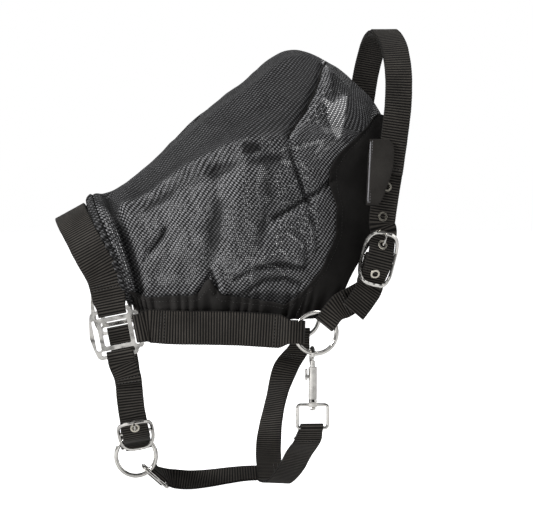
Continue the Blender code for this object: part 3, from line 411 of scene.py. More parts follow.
def webbing_path(run, width, side, first=None, last=None):
    """Places and half width vectors of a strap that follows the run and turns round a bar at its ends."""

    def station(distance, lapped):
        place, _, across, normal = run.at(distance)
        lift, pinch = 0.0, 1.0
        for loop, away in ((first, distance), (last, run.length - distance)):
            if loop:
                fall = smooth_fall(away, loop.hold)
                lift += (loop.radius - HALF_LAYER) * fall
                pinch -= (1.0 - loop.pinch) * fall
        offset = side * (2 * HALF_LAYER + lift) if lapped else -side * lift
        return place + offset * normal, across * width / 2 * pinch

    def stretch(start, stop, lapped):
        count = max(2, math.ceil(abs(stop - start) / Run.STEP))
        return [station(start + (stop - start) * k / count, lapped) for k in range(count + 1)]

    def turn(loop, distance, way):
        place, direction, across, normal = run.at(distance)
        pivot = place + side * HALF_LAYER * normal
        half = across * width / 2 * loop.pinch
        return half_turn(pivot, loop.radius, -way * side * normal, way * direction, half)

    path = stretch(0.0, run.length, False)
    if first:
        path = stretch(first.lap, 0.0, True) + turn(first, 0.0, -1) + path
    if last:
        path += turn(last, run.length, 1) + stretch(run.length, run.length - last.lap, True)
    return path


def square_axes():
    across = Vector((math.cos(SQUARE_TILT), 0, math.sin(SQUARE_TILT)))
    up = Vector((-math.sin(SQUARE_TILT), 0, math.cos(SQUARE_TILT)))
    return across, up


def square_bar(right, up):
    """Middle of one of the near square's outer bars: right or up is -1, 0 or 1."""
    across_axis, up_axis = square_axes()
    reach = INNER_BAR + SLOT + OUTER_BAR / 2
    centre = Vector((SQUARE_X, -SQUARE_Y, SQUARE_Z))
    return centre + across_axis * right * (WINDOW_W / 2 + reach) + up_axis * up * (WINDOW_H / 2 + reach)


def millimetres(point):
    return tuple(c / MM for c in point)


def bar_start(bar, outward, side):
    """A run's first point, when its lapped loop turns round the bar."""
    return millimetres(bar - side * HALF_LAYER * outward)


def ahead(point, direction, distance):
    """The place this many millimetres on from a point given in millimetres."""
    return tuple(p + d * distance for p, d in zip(point, direction))


def led(point, direction, across, *distances):
    """Stations of one width direction, at distances along a straight line."""
    return [(*ahead(point, direction, distance), *across) for distance in distances]


def ring_end(angle, side_y, lift, beyond=0.0):
    """Where a strap's loop turns inside a throat ring, at an angle from +X towards +Z."""
    r = RING_R - RING_INSET + beyond
    x, z = RING_X + r * math.cos(angle), RING_Z + r * math.sin(angle)
    return x / MM, (side_y + lift) / MM, z / MM


def buckle_axes(centre, up, across, way):
    """A buckle's centre in metres, with its length, width and outward directions."""
    up, across = Vector(up).normalized(), Vector(across)
    across = (across - across.dot(up) * up).normalized()
    return Vector(centre) * MM, up, across, way * up.cross(across)


CHIN_BUCKLE = buckle_axes((-242.2, -46.0, -380.4), (-0.10, -0.79, 0.61), (0.985, 0.0, 0.165), -1)
CROWN_BUCKLE = buckle_axes((-14.5, -83.0, -213.5), (0.25, 0.03, 0.96), (-0.96, -0.20, 0.25), 1)


def buckle_point(axes, along, outward):
    centre, up, across, normal = axes
    return centre + up * along * MM + normal * outward * MM


def threaded(axes, places):
    """Stations of a strap in a buckle, each given along the buckle and outward from its centre bar."""
    return [(*millimetres(buckle_point(axes, *place)), *axes[2]) for place in places]


# Behind one end of the frame, over the centre bar and behind the other end
THREADING = [(-26.0, -1.6), (-19.5, -1.2), (-13.0, 1.8), (-7.0, 4.9), (0.0, 6.4)]
THREADING += [(7.0, 4.9), (13.0, 1.8), (19.5, -1.2), (26.0, -1.6)]
# Behind the threaded strap, closing on the centre bar
BACKING = [(-32.0, -6.9), (-22.0, -6.7), (-13.0, -4.9), (0.0, -HALF_LAYER / MM)]


class Cloth:
    """Collects the vertices, faces and cloth places of one mesh."""

    def __init__(self):
        self.points, self.faces, self.places = [], [], []

    def piece(self, name, look, slot, replaced=(), body=ROOT, attribute="cloth"):
        mesh = bpy.data.meshes.new(name)
        mesh.from_pydata([tuple(p) for p in self.points], [], self.faces)
        if len(self.places):
            write(mesh, attribute, self.places)
        mesh.materials.append(LOOKS[look])
        mesh.shade_smooth()
        obj = add(name, mesh)
        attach(obj, body)
        if replaced:
            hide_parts(*replaced)
        return obj


def read(mesh, name):
    """A row of three numbers for each vertex: its place (co), its normal, or an attribute's value."""
    values = np.zeros(len(mesh.vertices) * 3, np.float32)
    if name == "co":
        mesh.vertices.foreach_get("co", values)
    elif name == "normal":
        mesh.vertex_normals.foreach_get("vector", values)
    else:
        mesh.attributes[name].data.foreach_get("vector", values)
    return values.reshape(-1, 3).astype(float)


def write(mesh, name, values):
    """Sets the vertices' places (co), or an attribute, which is made where it is missing."""
    values = np.array(values, np.float32).ravel()
    if name == "co":
        mesh.vertices.foreach_set("co", values)
    else:
        layer = mesh.attributes.get(name) or mesh.attributes.new(name, "FLOAT_VECTOR", "POINT")
        layer.data.foreach_set("vector", values)


# A strap's section, as (share of the half width, share of the half thickness): the selvedges are thicker
TOP_HALF = [
    (-1.0, 0.0), (-0.988, 0.6), (-0.955, 0.98), (-0.90, 0.88), (-0.55, 0.86), (-0.2, 0.86),
    (0.2, 0.86), (0.55, 0.86), (0.90, 0.88), (0.955, 0.98), (0.988, 0.6), (1.0, 0.0),
]
SECTION = TOP_HALF + [(t, -h) for t, h in reversed(TOP_HALF[1:-1])]


def resampled(path, step):
    """Stations of a path at even steps, with their distance along it."""
    stations, travelled, due = [], 0.0, 0.0
    for (a, half_a), (b, half_b) in zip(path, path[1:]):
        length = (b - a).length
        while length > 0 and due <= travelled + length:
            t = (due - travelled) / length
            stations.append((a.lerp(b, t), half_a.lerp(half_b, t), due))
            due += step
        travelled += length
    stations.append((*path[-1], travelled))
    return stations


def in_hole(point, holes, slots):
    for place, normal in holes:
        offset = point - place
        along = offset.dot(normal)
        if abs(along) < 4 * MM and (offset - along * normal).length < HOLE_R:
            return True
    for centre, up, across, normal in slots:
        offset = point - centre
        if abs(offset.dot(across)) < 2 * MM and -5 * MM < offset.dot(up) < 8 * MM:
            if abs(offset.dot(normal)) < 6 * MM:
                return True
    return False


def webbing(name, path, mirrored=False, holes=(), slots=()):
    """A ribbed strap along a path.

    Its weave attribute is (across, along, share of the half width from the edge).
    """
    sign = -1 if mirrored else 1
    stations = resampled(path, RIB_PITCH / RIB_STEPS)
    cloth = Cloth()
    n = len(SECTION)
    for k, (place, half, along) in enumerate(stations):
        after, before = stations[min(k + 1, len(stations) - 1)][0], stations[max(k - 1, 0)][0]
        normal = (after - before).cross(half).normalized()
        rib = math.cos(2 * math.pi * along / RIB_PITCH)
        wander = 0.012 * noise.noise(Vector((along * 90, 3.0, sum(map(ord, name)))))
        for t, h in SECTION:
            lift = WEB / 2 * h
            if abs(t) < SELVEDGE:
                lift += math.copysign(RIB_DEPTH / 2 * (rib - 0.2), h)
            reach = t * (1 + 0.01 * rib * (abs(t) > 0.95) + wander)
            p = place + half * reach + normal * lift
            cloth.points.append((p.x, sign * p.y, p.z))
            cloth.places.append((t * half.length, along, 1 - abs(t)))
    for k in range(len(stations) - 1):
        for j in range(n):
            a, b = k * n + j, k * n + (j + 1) % n
            if holes or slots:
                middle = (Vector(cloth.points[a]) + Vector(cloth.points[b + n])) / 2
                if in_hole(middle, holes, slots):
                    continue
            cloth.faces.append((a, a + n, b + n, b) if sign > 0 else (a, b, b + n, a + n))
    end = range(n * (len(stations) - 1), n * len(stations))
    cloth.faces += [tuple(range(n))[::sign], tuple(end)[::-sign]]
    cloth.piece(name + "_webbing", "webbing", "black_webbing", [name], attribute="weave")


def stitch(cloth, place, along, up, length, thick):
    """One thread float: a short spindle."""
    side = along.cross(up).normalized()
    up = side.cross(along).normalized()
    base = len(cloth.points)
    ring = [side, up, -side, -up]
    cloth.points.append(place - along * length / 2 - up * thick * 0.5)
    for share in (-0.3, 0.3):
        for direction in ring:
            cloth.points.append(place + along * length * share + direction * thick / 2)
    cloth.points.append(place + along * length / 2 - up * thick * 0.5)
    for j in range(4):
        k = (j + 1) % 4
        cloth.faces.append((base, base + 1 + k, base + 1 + j))
        cloth.faces.append((base + 1 + j, base + 1 + k, base + 5 + k, base + 5 + j))
        cloth.faces.append((base + 5 + j, base + 5 + k, base + 9))


def sewing(name, run, width, side, rows, mirrored=False):
    """Rows of stitches across a lap, on both its faces."""
    cloth = Cloth()
    flip = Vector((1, -1 if mirrored else 1, 1))
    surface = WEB / 2 - STITCH_SUNK
    count = int(width * SEWN_WIDTH / STITCH_PITCH)
    for distance in rows:
        place, _, across, normal = run.at(distance)
        for lift, up in ((-side * surface, -side), (side * (2 * HALF_LAYER + surface), side)):
            for k in range(count):
                spot = place + across * width * SEWN_WIDTH * ((k + 0.5) / count - 0.5) + normal * lift
                along, out = (across * flip).normalized(), (normal * up * flip).normalized()
                stitch(cloth, spot * flip, along, out, STITCH_LENGTH, STITCH_THICK)
    cloth.piece(name + "_stitching", "thread", "black_webbing")


def strap(name, run, width, side, rows, first=None, last=None, mirrored=False, holes=(), slots=()):
    """Webbing along a run, and its sewing. Rows are in millimetres; below zero they count from the end."""
    webbing(name, webbing_path(run, width, side, first, last), mirrored, holes, slots)
    rows = [row * MM + (run.length if row < 0 else 0.0) for row in rows]
    sewing(name, run, width, side, rows, mirrored)


def noseband():
    across, up = square_axes()
    start = bar_start(square_bar(0, 1), Vector((0, -1, 0)), -1)
    near = [
        *led(start, up, -across, 0, 5, 9),
        (-272.0, -65.0, -231.0, -0.92, 0, -0.38),
        (-283.5, -61.5, -210.0, -0.876, 0, -0.483),
        (-292.5, -53.0, -193.0, -0.876, 0, -0.483),
        (-299.8, -37.0, -180.0, -0.876, 0, -0.483),
        (-303.5, -19.0, -173.2, -0.876, 0, -0.483),
    ]
    rise = OFF_RISE / MM
    lift = [rise, rise, rise, 0.45 * rise, 0, 0, 0, 0]
    off = [(a, -b, c + up, *w) for (a, b, c, *w), up in zip(reversed(near), reversed(lift))]
    run = Run([*near, (-304.6, 0.0, -171.2, -0.876, 0, -0.483), *off])
    near_tail = Loop(BAR_R, 27 * MM, pinch=SLOT_PINCH)
    off_tail = Loop(BAR_R, 24 * MM, pinch=SLOT_PINCH)
    strap("noseband", run, WIDE, -1, [21, 25, -22, -18], near_tail, off_tail)


def cheek_strap(name, mirrored):
    rise = OFF_RISE / MM if mirrored else 0
    spread = 1.5 if mirrored else 0
    across, up = square_axes()
    x, y, z = bar_start(square_bar(1, 0), Vector((0, -1, 0)), -1)
    start = (x, y, z + rise)
    end_x = (RING_X - 15.1 * MM) / MM
    y = (-RING_Y - HALF_LAYER) / MM
    run = Run([
        *led(start, across, up, 0, 5, 9),
        (-205.0, -70.5 - spread, -278.3 + 0.55 * rise, -0.06, 0, 1),
        (-150.0, -77.5 - spread, -279.0 + 0.15 * rise, 0, 0, 1),
        (end_x - 16, y, -281.3, 0, 0, 1),
        (end_x, y, -282.0, 0, 0, 1),
    ])
    half = run.length / 2
    front = Loop(BAR_R, half - 0.3 * MM, pinch=SLOT_PINCH)
    rear = Loop(HITCH_R, half - 0.3 * MM, hold=8.0 * MM, pinch=0.68)
    strap(name, run, WIDE, -1, [20, 24, -24, -20], front, rear, mirrored)


def crown_strap():
    width = (-1, 0, 0)
    near = [
        (-10.4, -81.2, -180.5, -0.985, -0.12, 0.1),
        (-8.4, -78.8, -164.0, *width),
        (-5.8, -76.4, -149.0, *width),
        (-2.6, -73.2, -131.0, *width),
        (3.6, -67.0, -92.0, *width),
        (7.0, -62.0, -66.0, *width),
        (8.2, -54.5, -40.0, *width),
        (6.8, -41.0, -17.5, *width),
        (3.6, -28.0, -5.2, *width),
        *[(0.0, y, WEB / 2 / MM, *width) for y in (-15.0, -8.0, 0.0, 8.0, 15.0)],
    ]
    off = [
        (-3.6, 28.0, -5.2, -0.99, 0, 0.1),
        (-6.5, 41.0, -17.5, -0.98, 0, 0.16),
        (-10.0, 53.5, -38.0, -0.97, 0, 0.2),
        (-14.5, 63.5, -72.0, -0.97, 0, 0.22),
        (-27.0, 73.5, -134.0, -0.97, 0, 0.22),
        (-41.5, 82.0, -200.0, -0.97, 0, 0.24),
    ]
    angle = math.radians(66)
    run = Run([
        (-38.6, -91.6, -262.5, -0.82, -0.2, 0.53),
        (-31.5, -89.6, -253.5, -0.87, -0.2, 0.43),
        (-26.0, -87.0, -246.0, -0.93, -0.2, 0.31),
        *threaded(CROWN_BUCKLE, THREADING),
        *near,
        *off,
        (*ring_end(angle, RING_Y, -HALF_LAYER, 18 * MM), -0.91, 0, 0.41),
        (*ring_end(angle, RING_Y, -HALF_LAYER), -0.91, 0, 0.41),
    ])
    lap_end = run.nearest(Vector((-3.2, -73.0, -133.0)) * MM)
    last = Loop(HITCH_R, run.length - lap_end, hold=8.5 * MM, pinch=0.84)
    strap("crown_strap", run, NARROW, 1, [lap_end / MM + 4, lap_end / MM + 9, -30], None, last)


def crown_billet():
    """The strap that carries the crown buckle, from the near ring to the centre bar."""
    angle = math.radians(48)
    run = Run([
        (*ring_end(angle, -RING_Y, HALF_LAYER), -0.76, 0, 0.65),
        (*ring_end(angle, -RING_Y, HALF_LAYER, 16 * MM), -0.76, 0, 0.65),
        *threaded(CROWN_BUCKLE, BACKING),
    ])
    ring_loop = Loop(HITCH_R, 27 * MM, hold=8.5 * MM, pinch=0.8)
    bar_loop = Loop(BAR_LOOP, BAR_LAP)
    strap("crown_billet", run, NARROW, 1, [22, 25], ring_loop, bar_loop, slots=[CROWN_BUCKLE])


def chin_straps():
    across, up = square_axes()
    x, y, z = bar_start(square_bar(0, -1), Vector((0, -1, 0)), 1)
    near = Run([
        *led((x, y, z), up, across, 0, -5, -8),
        (-249.6, -65.5, -326.0, 0.99, 0, 0.1),
        (-247.6, -66.0, -345.0, 1, 0, 0.05),
        (-246.2, -66.8, -357.0, 0.99, 0, 0.1),
        *threaded(CHIN_BUCKLE, [*reversed(THREADING), (-33.0, -0.5)]),
    ])
    place, _, _, normal = near.at(near.nearest(buckle_point(CHIN_BUCKLE, HOLE_AT / MM, 3.0)))
    strap("near_chin_strap", near, NARROW, 1, [23, 27], Loop(BAR_R, 29 * MM), holes=[(place, normal)])
    for distance in (23, 41):
        place, along, across, normal = near.at(distance * MM)
        middle, half = place - normal * 0.9 * MM, across * NARROW / 2 + along * 1.2 * MM
        line = [middle + half * t for t in spread(-1.0, 1.0, 12)]
        tube(f"chin_hem_{distance}", line, 0.85 * MM, "keeper", "black_webbing")

    top = (x, -y, z + OFF_RISE / MM)
    ring_x, ring_y, ring_z = millimetres(CHIN_RING)
    off = Run([
        *threaded(CHIN_BUCKLE, reversed(BACKING[1:])),
        (ring_x - 1.7, ring_y, ring_z + 9.6, 0.985, 0, 0.165),
        (ring_x - 2.0, ring_y + 14, ring_z + 10.5, 0.985, 0, 0.14),
        (-244.0, 32.0, -386.0, 1, 0, 0.1),
        (-247.0, 52.0, -362.0, 1, 0, 0.05),
        (-250.0, 63.0, -330.0, 0.99, 0, 0.12),
        *led(top, up, across, -9, -5, 0),
    ])
    loops = Loop(BAR_LOOP, BAR_LAP), Loop(BAR_R, 27 * MM)
    strap("off_chin_strap", off, NARROW, 1, [-25, -21], *loops, slots=[CHIN_BUCKLE])


def connector_strap():
    """From the link to its end, which is sewn flat under the throat strap."""
    bar = LINK_CENTRE + LINK_ALONG * 2.5 * MM + Vector((0, LINK_W / 2, 0))
    away, ahead_x = Vector((0, 1, 0)), Vector((1, 0, 0))
    start = bar - away.cross(-LINK_ALONG) * HALF_LAYER
    under = CROSSING - ahead_x.cross(-CROSS_DOWN) * 2 * HALF_LAYER / MM
    run = Run([
        (*millimetres(start), *-LINK_ALONG),
        (*millimetres(start + away * 3 * MM), *-LINK_ALONG),
        (*millimetres(start + away * 6 * MM), *-LINK_ALONG),
        (-217.5, 15.0, -432.5, -0.66, 0.3, 0.66),
        (-206.0, 21.5, -436.5, -0.35, 0.7, 0.62),
        (-189.0, 20.5, -438.0, -0.05, 0.82, 0.57),
        (-170.0, 15.0, -435.8, 0, 0.86, 0.51),
        (-150.0, 10.8, -432.4, 0, 0.89, 0.45),
        (*(under - 20 * ahead_x), *-CROSS_DOWN),
        (*(under + 10 * ahead_x), *-CROSS_DOWN),
    ])
    first = Loop(LINK_WIRE + GAP + WEB / 2, 14 * MM, pinch=0.74)
    strap("connector_strap", run, NARROW, 1, [11, -6, -2], first)


def throat_strap():
    angle = math.radians(-98)
    width = (-1, 0, 0)
    x, y, z = ring_end(math.radians(-88), RING_Y, HALF_LAYER)
    lead = (x + 16 * math.cos(angle), y, z + 16 * math.sin(angle))
    pull = Vector((0.2, -0.44, 0.875)).normalized()
    eye_bar = Vector((SNAP_X - 1.2 * MM, SNAP_Y, EYE_BOTTOM))
    top = Vector(millimetres(eye_bar + pull.cross(Vector(width)).normalized() * HALF_LAYER))
    run = Run([
        (x, y, z, *width),
        (*lead, *width),
        (-87.5, 81.0, -333.0, -0.95, 0.1, 0.2),
        (-96.5, 73.0, -358.0, -0.85, 0.5, -0.2),
        (-104.5, 57.5, -385.0, -0.85, 0.5, -0.15),
        (-108.5, 40.0, -406.5, -0.97, 0.2, 0),
        *[(*(CROSSING + distance * CROSS_DOWN), *width) for distance in (-18, -13, 13, 18)],
        (-103.0, -25.0, -433.0, -0.95, -0.28, 0.12),
        (-94.0, -46.0, -418.0, -0.955, -0.22, 0.19),
        (-87.6, -66.0, -400.0, -0.97, -0.15, 0.17),
        (*(top - 16 * pull - Vector((0.8, 0, 0))), -0.99, -0.06, 0.06),
        *[(*(top - distance * pull), *width) for distance in (8, 4, 0)],
    ], square=False)
    ring_loop = Loop(HITCH_R, 30 * MM, hold=8.5 * MM, pinch=0.74)
    eye_loop = Loop(EYE_WIRE + GAP + WEB / 2, 14 * MM, pinch=0.84)
    strap("throat_strap", run, NARROW, -1, [25, 28, -13], ring_loop, eye_loop)


# Mask -------------------------------------------------------------------------------------------

# Each arch crosses the head from its crest (at Y = 0) by the brow and the cheek to the lower edge,
# as (x, half width, z) in millimetres. The first lies under the noseband, the last at the crown strap.
ARCHES = [
    ((-291.0, 0.0, -174.0), (-284.0, 45.0, -190.5), (-268.0, 56.5, -222.0), (-252.5, 57.0, -252.0)),
    ((-279.5, 0.0, -157.0), (-272.5, 47.5, -178.0), (-258.0, 58.0, -216.0), (-242.0, 59.0, -261.0)),
    ((-258.0, 0.0, -148.5), (-248.5, 46.5, -168.0), (-237.5, 61.0, -212.0), (-226.0, 61.5, -266.0)),
    ((-225.0, 0.0, -123.0), (-209.0, 58.0, -139.5), (-202.0, 75.0, -200.0), (-200.0, 63.5, -268.0)),
    ((-186.0, 0.0, -85.0), (-170.0, 76.0, -111.0), (-165.5, 91.0, -190.0), (-167.5, 66.5, -269.0)),
    ((-139.0, 0.0, -46.5), (-129.5, 82.0, -88.0), (-129.0, 97.0, -187.0), (-135.0, 69.5, -270.0)),
    ((-95.5, 0.0, -15.0), (-87.5, 72.0, -75.5), (-91.0, 92.0, -187.0), (-102.0, 72.5, -270.5)),
    ((-47.0, 0.0, -20.0), (-44.0, 60.0, -75.0), (-60.5, 80.0, -188.0), (-77.0, 74.5, -270.5)),
    ((-3.0, 0.0, -30.0), (-7.0, 53.0, -85.0), (-22.5, 68.0, -190.0), (-57.0, 73.0, -266.0)),
]
SIDES = ((-1, "near"), (1, "off"))
EDGE = 0.998  # the lower edge of the borders, as a share of the half arch
HEM_END = 0.115  # where the doubled nose hem stops, as a share of the length
PEAK = 0.755  # the top is open for the ears and poll behind this
MIDDLE = Vector((-0.14, 0.0, -0.20))  # a place inside the mask, in metres
OFF_FOLDS = 0.8  # the off side's folds against the near side's
# The mesh's rows from the lower border up, as (share of the half arch, where the mesh ends)
ROWS = [
    (0.92, 0.87), (0.85, 0.87), (0.78, 0.87), (0.71, 0.87), (0.64, 0.872), (0.57, 0.868),
    (0.505, 0.862), (0.455, 0.878), (0.425, 0.905), (0.40, 0.95), (0.375, 1.0), (0.32, 1.0),
    (0.26, 1.0), (0.20, 1.0), (0.14, 1.0), (0.07, 1.0), (0.0012, 1.0),
]


def mask_point(u, v):
    """The mask's surface: u runs from noseband to crown strap, v from crest (0) to lower edge (1 or -1)."""
    side = -1 if v < 0 else 1
    place = u * (len(ARCHES) - 1)
    i = min(int(place), len(ARCHES) - 2)
    rows = []
    for k in (i - 1, i, i + 1, i + 2):
        rows.append(arch_point(ARCHES[min(max(k, 0), len(ARCHES) - 1)], abs(v)))
    point = catmull(*rows, place - i)
    return Vector((point.x, side * point.y, point.z)) * MM


def arch_point(arch, v):
    crest, brow, cheek, edge = (Vector(p) for p in arch)
    mirrored = Vector((brow.x, -brow.y, brow.z))
    line = [mirrored, crest, brow, cheek, edge, 2 * edge - cheek]
    place = v * 3
    i = min(int(place), 2)
    return catmull(*line[i : i + 4], place - i)


def rim(u):
    """The least |v| of the mesh: 0 on the face, and the edge of the ear opening behind the peak."""
    return 1.3 * max(u - PEAK, 0.0)


def rear_end(v):
    """Where the mesh's row at v gives way to the rear panel."""
    for (v0, e0), (v1, e1) in zip(ROWS, ROWS[1:]):
        if v0 >= v >= v1:
            return e1 + (e0 - e1) * (v - v1) / (v0 - v1)
    return ROWS[0][1] if v > ROWS[0][0] else 1.0


# Folds of the near side, as (points in (u, v), width mm, height mm): a height below zero is a crease
FOLDS = [
    (
        [
            (0.24, 0.30), (0.335, 0.33), (0.40, 0.33), (0.475, 0.36), (0.56, 0.375), (0.645, 0.395),
            (0.71, 0.405),
        ],
        7.0, 3.6,
    ),
    ([(0.30, 0.40), (0.40, 0.405), (0.50, 0.43), (0.60, 0.45), (0.69, 0.46)], 5.0, -2.6),
    ([(0.30, 0.22), (0.42, 0.25), (0.54, 0.27), (0.66, 0.27)], 12.0, -3.0),
    ([(0.40, 0.14), (0.52, 0.15), (0.66, 0.14), (0.76, 0.12)], 9.0, 2.0),
    ([(0.19, 0.10), (0.19, 0.25), (0.203, 0.45), (0.207, 0.605), (0.21, 0.75), (0.205, 0.87)], 5.5, -5.0),
    ([(0.13, 0.08), (0.13, 0.25), (0.135, 0.45), (0.135, 0.605), (0.12, 0.75), (0.10, 0.87)], 7.5, 4.0),
    ([(0.25, 0.30), (0.26, 0.45), (0.265, 0.60), (0.27, 0.75), (0.26, 0.85)], 7.0, 2.4),
    ([(0.34, 0.565), (0.325, 0.60), (0.29, 0.645), (0.265, 0.70)], 2.4, -3.2),
    ([(0.37, 0.59), (0.33, 0.66), (0.30, 0.74)], 5.0, 2.2),
    ([(0.83, 0.145), (0.805, 0.24), (0.765, 0.33), (0.71, 0.41)], 2.6, -3.0),
    ([(0.85, 0.16), (0.83, 0.25), (0.79, 0.34), (0.73, 0.42)], 5.0, 2.2),
    ([(0.71, 0.42), (0.735, 0.49), (0.765, 0.56), (0.80, 0.60)], 2.4, -2.8),
    ([(0.74, 0.43), (0.775, 0.49), (0.805, 0.54)], 4.0, 1.8),
    ([(0.675, 0.625), (0.75, 0.585), (0.805, 0.56), (0.86, 0.525)], 2.4, -3.0),
    ([(0.68, 0.66), (0.75, 0.62), (0.83, 0.585)], 4.5, 2.0),
    ([(0.78, 0.60), (0.82, 0.66), (0.84, 0.73)], 2.6, -2.6),
    ([(0.74, 0.66), (0.79, 0.71), (0.80, 0.78)], 3.0, -2.0),
    ([(0.56, 0.85), (0.62, 0.80), (0.70, 0.785), (0.80, 0.80)], 2.6, -2.8),
    ([(0.58, 0.80), (0.66, 0.755), (0.75, 0.75)], 4.5, 2.0),
    ([(0.60, 0.90), (0.66, 0.85), (0.73, 0.84), (0.80, 0.86)], 2.6, -2.4),
    ([(0.44, 0.895), (0.462, 0.85), (0.478, 0.82), (0.50, 0.87), (0.50, 0.905)], 2.6, -3.2),
    ([(0.50, 0.79), (0.52, 0.85), (0.53, 0.89)], 3.5, 2.2),
    ([(0.50, 0.42), (0.50, 0.55), (0.48, 0.70), (0.47, 0.80)], 8.0, -2.2),
    ([(0.58, 0.44), (0.57, 0.55), (0.55, 0.66), (0.54, 0.76)], 8.0, 2.2),
    ([(0.40, 0.45), (0.40, 0.56), (0.38, 0.70), (0.36, 0.82)], 9.0, 2.4),
    ([(0.65, 0.48), (0.66, 0.57), (0.64, 0.68), (0.62, 0.75)], 6.0, -1.8),
]
# The band by the noseband where the mesh is folded over itself; it is closed and painted darker, as the
# fold's painted shade
FOLD_BAND = [(0.19, 0.10), (0.19, 0.25), (0.203, 0.45), (0.207, 0.605), (0.21, 0.75), (0.205, 0.87)]
BAND_HALF = 4.5 * MM
# Where the forehead's second layer ends, and the places on the near side that stay a single layer; closed
# places are painted darker, as painted shade
FOREHEAD = [
    (0.10, 0.20), (0.24, 0.31), (0.335, 0.335), (0.40, 0.335), (0.475, 0.36), (0.56, 0.375), (0.645, 0.395),
    (0.71, 0.41), (0.765, 0.33), (0.805, 0.24), (0.83, 0.145), (0.845, 0.0),
]
TUCK = [(0.580, 0.388), (0.60, 0.392), (0.63, 0.404), (0.633, 0.43), (0.61, 0.43), (0.585, 0.422)]
PATCH = [
    (0.808, 0.27), (0.845, 0.285), (0.885, 0.255), (0.878, 0.345), (0.876, 0.435), (0.845, 0.41),
    (0.822, 0.38),
]
# The bay in the off side's rear edge, through which the background shows
BAY = [
    (0.842, 0.265), (0.875, 0.29), (0.912, 0.245), (0.925, 0.33), (0.915, 0.425), (0.885, 0.39),
    (0.868, 0.36), (0.858, 0.31),
]


def line_on_mask(points, side):
    return np.array([mask_point(u, side * v) for u, v in points])


def distance_to_line(positions, line):
    """Each position's distance to a polyline."""
    best = np.full(len(positions), 1e9)
    for a, b in zip(line, line[1:]):
        d = b - a
        t = np.clip(((positions - a) @ d) / (d @ d), 0, 1)[:, None]
        best = np.minimum(best, np.linalg.norm(positions - (a + t * d), axis=1))
    return best


def inside(point, polygon):
    x, y = point
    odd = False
    for (x0, y0), (x1, y1) in zip(polygon, polygon[1:] + polygon[:1]):
        if (y0 > y) != (y1 > y) and x < (x1 - x0) * (y - y0) / (y1 - y0) + x0:
            odd = not odd
    return odd


def fold_height(positions, uv, side, amount=1.0):
    """How far the cloth stands off the smooth surface: folds, soft waves, and gathers at its sewn edges."""
    rise = np.zeros(len(positions))
    for points, width, height in FOLDS:
        near = distance_to_line(positions, line_on_mask(points, side))
        rise += 1.3 * height * MM * np.exp(-((near / (width * MM)) ** 2))
    shift = 7.0 if side > 0 else 0.0
    soft = [noise.noise(Vector(p) * 24 + Vector((shift, 0, 0))) for p in positions]
    fine = [noise.noise(Vector((p[0] * 75, p[1] * 40, p[2] * 75 + shift))) for p in positions]
    rise += np.array(soft) * 2.2 * MM + np.array(fine) * 0.8 * MM
    u, v = uv[:, 0], np.abs(uv[:, 1])
    to_border = np.clip((0.92 - v) / 0.10, 0, 1)
    gathers = np.sin(u * 150 + 2 * np.sin(u * 31 + shift)) * (1 - to_border) ** 2
    to_nose = np.clip((u - HEM_END) / 0.07, 0, 1)
    nose_gathers = np.sin(v * 62 + 3 * np.sin(v * 11)) * (1 - to_nose) ** 2
    rise += gathers * 1.1 * MM + nose_gathers * 0.9 * MM
    return rise * amount


def spread(low, high, count):
    return [low + (high - low) * k / count for k in range(count + 1)]


def ramp(values, low, high):
    """0 below low and 1 above high."""
    return np.clip((values - low) / (high - low), 0, 1)


def layers_and_shade(positions, uv):
    """How far other plies of mesh close the openings at each place, from 0 to 1; the knit is painted darker
    by the same value, as painted shade.
    """
    u, v = uv[:, 0], np.abs(uv[:, 1])
    # The off side starts half closed, which also paints it darker: painted shade inside the mask.
    closed = np.where(uv[:, 1] > 0, 0.5, 0.0)
    for side in (-1, 1):
        band = distance_to_line(positions, line_on_mask(FOLD_BAND, side))
        closed = np.maximum(closed, ramp(-band, -BAND_HALF - 2 * MM, 2 * MM - BAND_HALF))
    front = np.interp(u, *zip(*FOREHEAD))
    closed = np.maximum(closed, ramp(front - v, -0.012, 0.018) * ramp(-u, -0.85, -0.84) * 0.8)
    # The tuck and the places behind the dart, outside the patch, are closed and painted darker, as painted
    # shade.
    for place in np.nonzero((u > 0.57) & (v < 0.47) & (uv[:, 1] < 0))[0]:
        point = (u[place], v[place])
        if inside(point, TUCK):
            closed[place] = 1.0
        elif u[place] > 0.84 and v[place] < 0.43 and not inside(point, PATCH):
            closed[place] = max(closed[place], 0.7)
    return np.maximum(closed, ramp(v, 0.885, 0.905) * 0.9)


def laid_on_mask(grid):
    """The cloth of a grid of (u, v): its places on the mask and their distances along it, without faces."""
    points = np.array([[mask_point(u, v) for u, v in row] for row in grid])
    along_u, along_v = (
        np.cumsum(np.linalg.norm(np.diff(points, axis=way, prepend=points.take([0], way)), axis=2), axis=way)
        for way in (1, 0)
    )
    cloth = Cloth()
    cloth.points = points.reshape(-1, 3)
    cloth.places = np.stack([along_u.ravel(), along_v.ravel(), np.zeros(along_u.size)], axis=1)
    return cloth


def surface_places(grid):
    return [(u, v, 0.0) for row in grid for u, v in row]


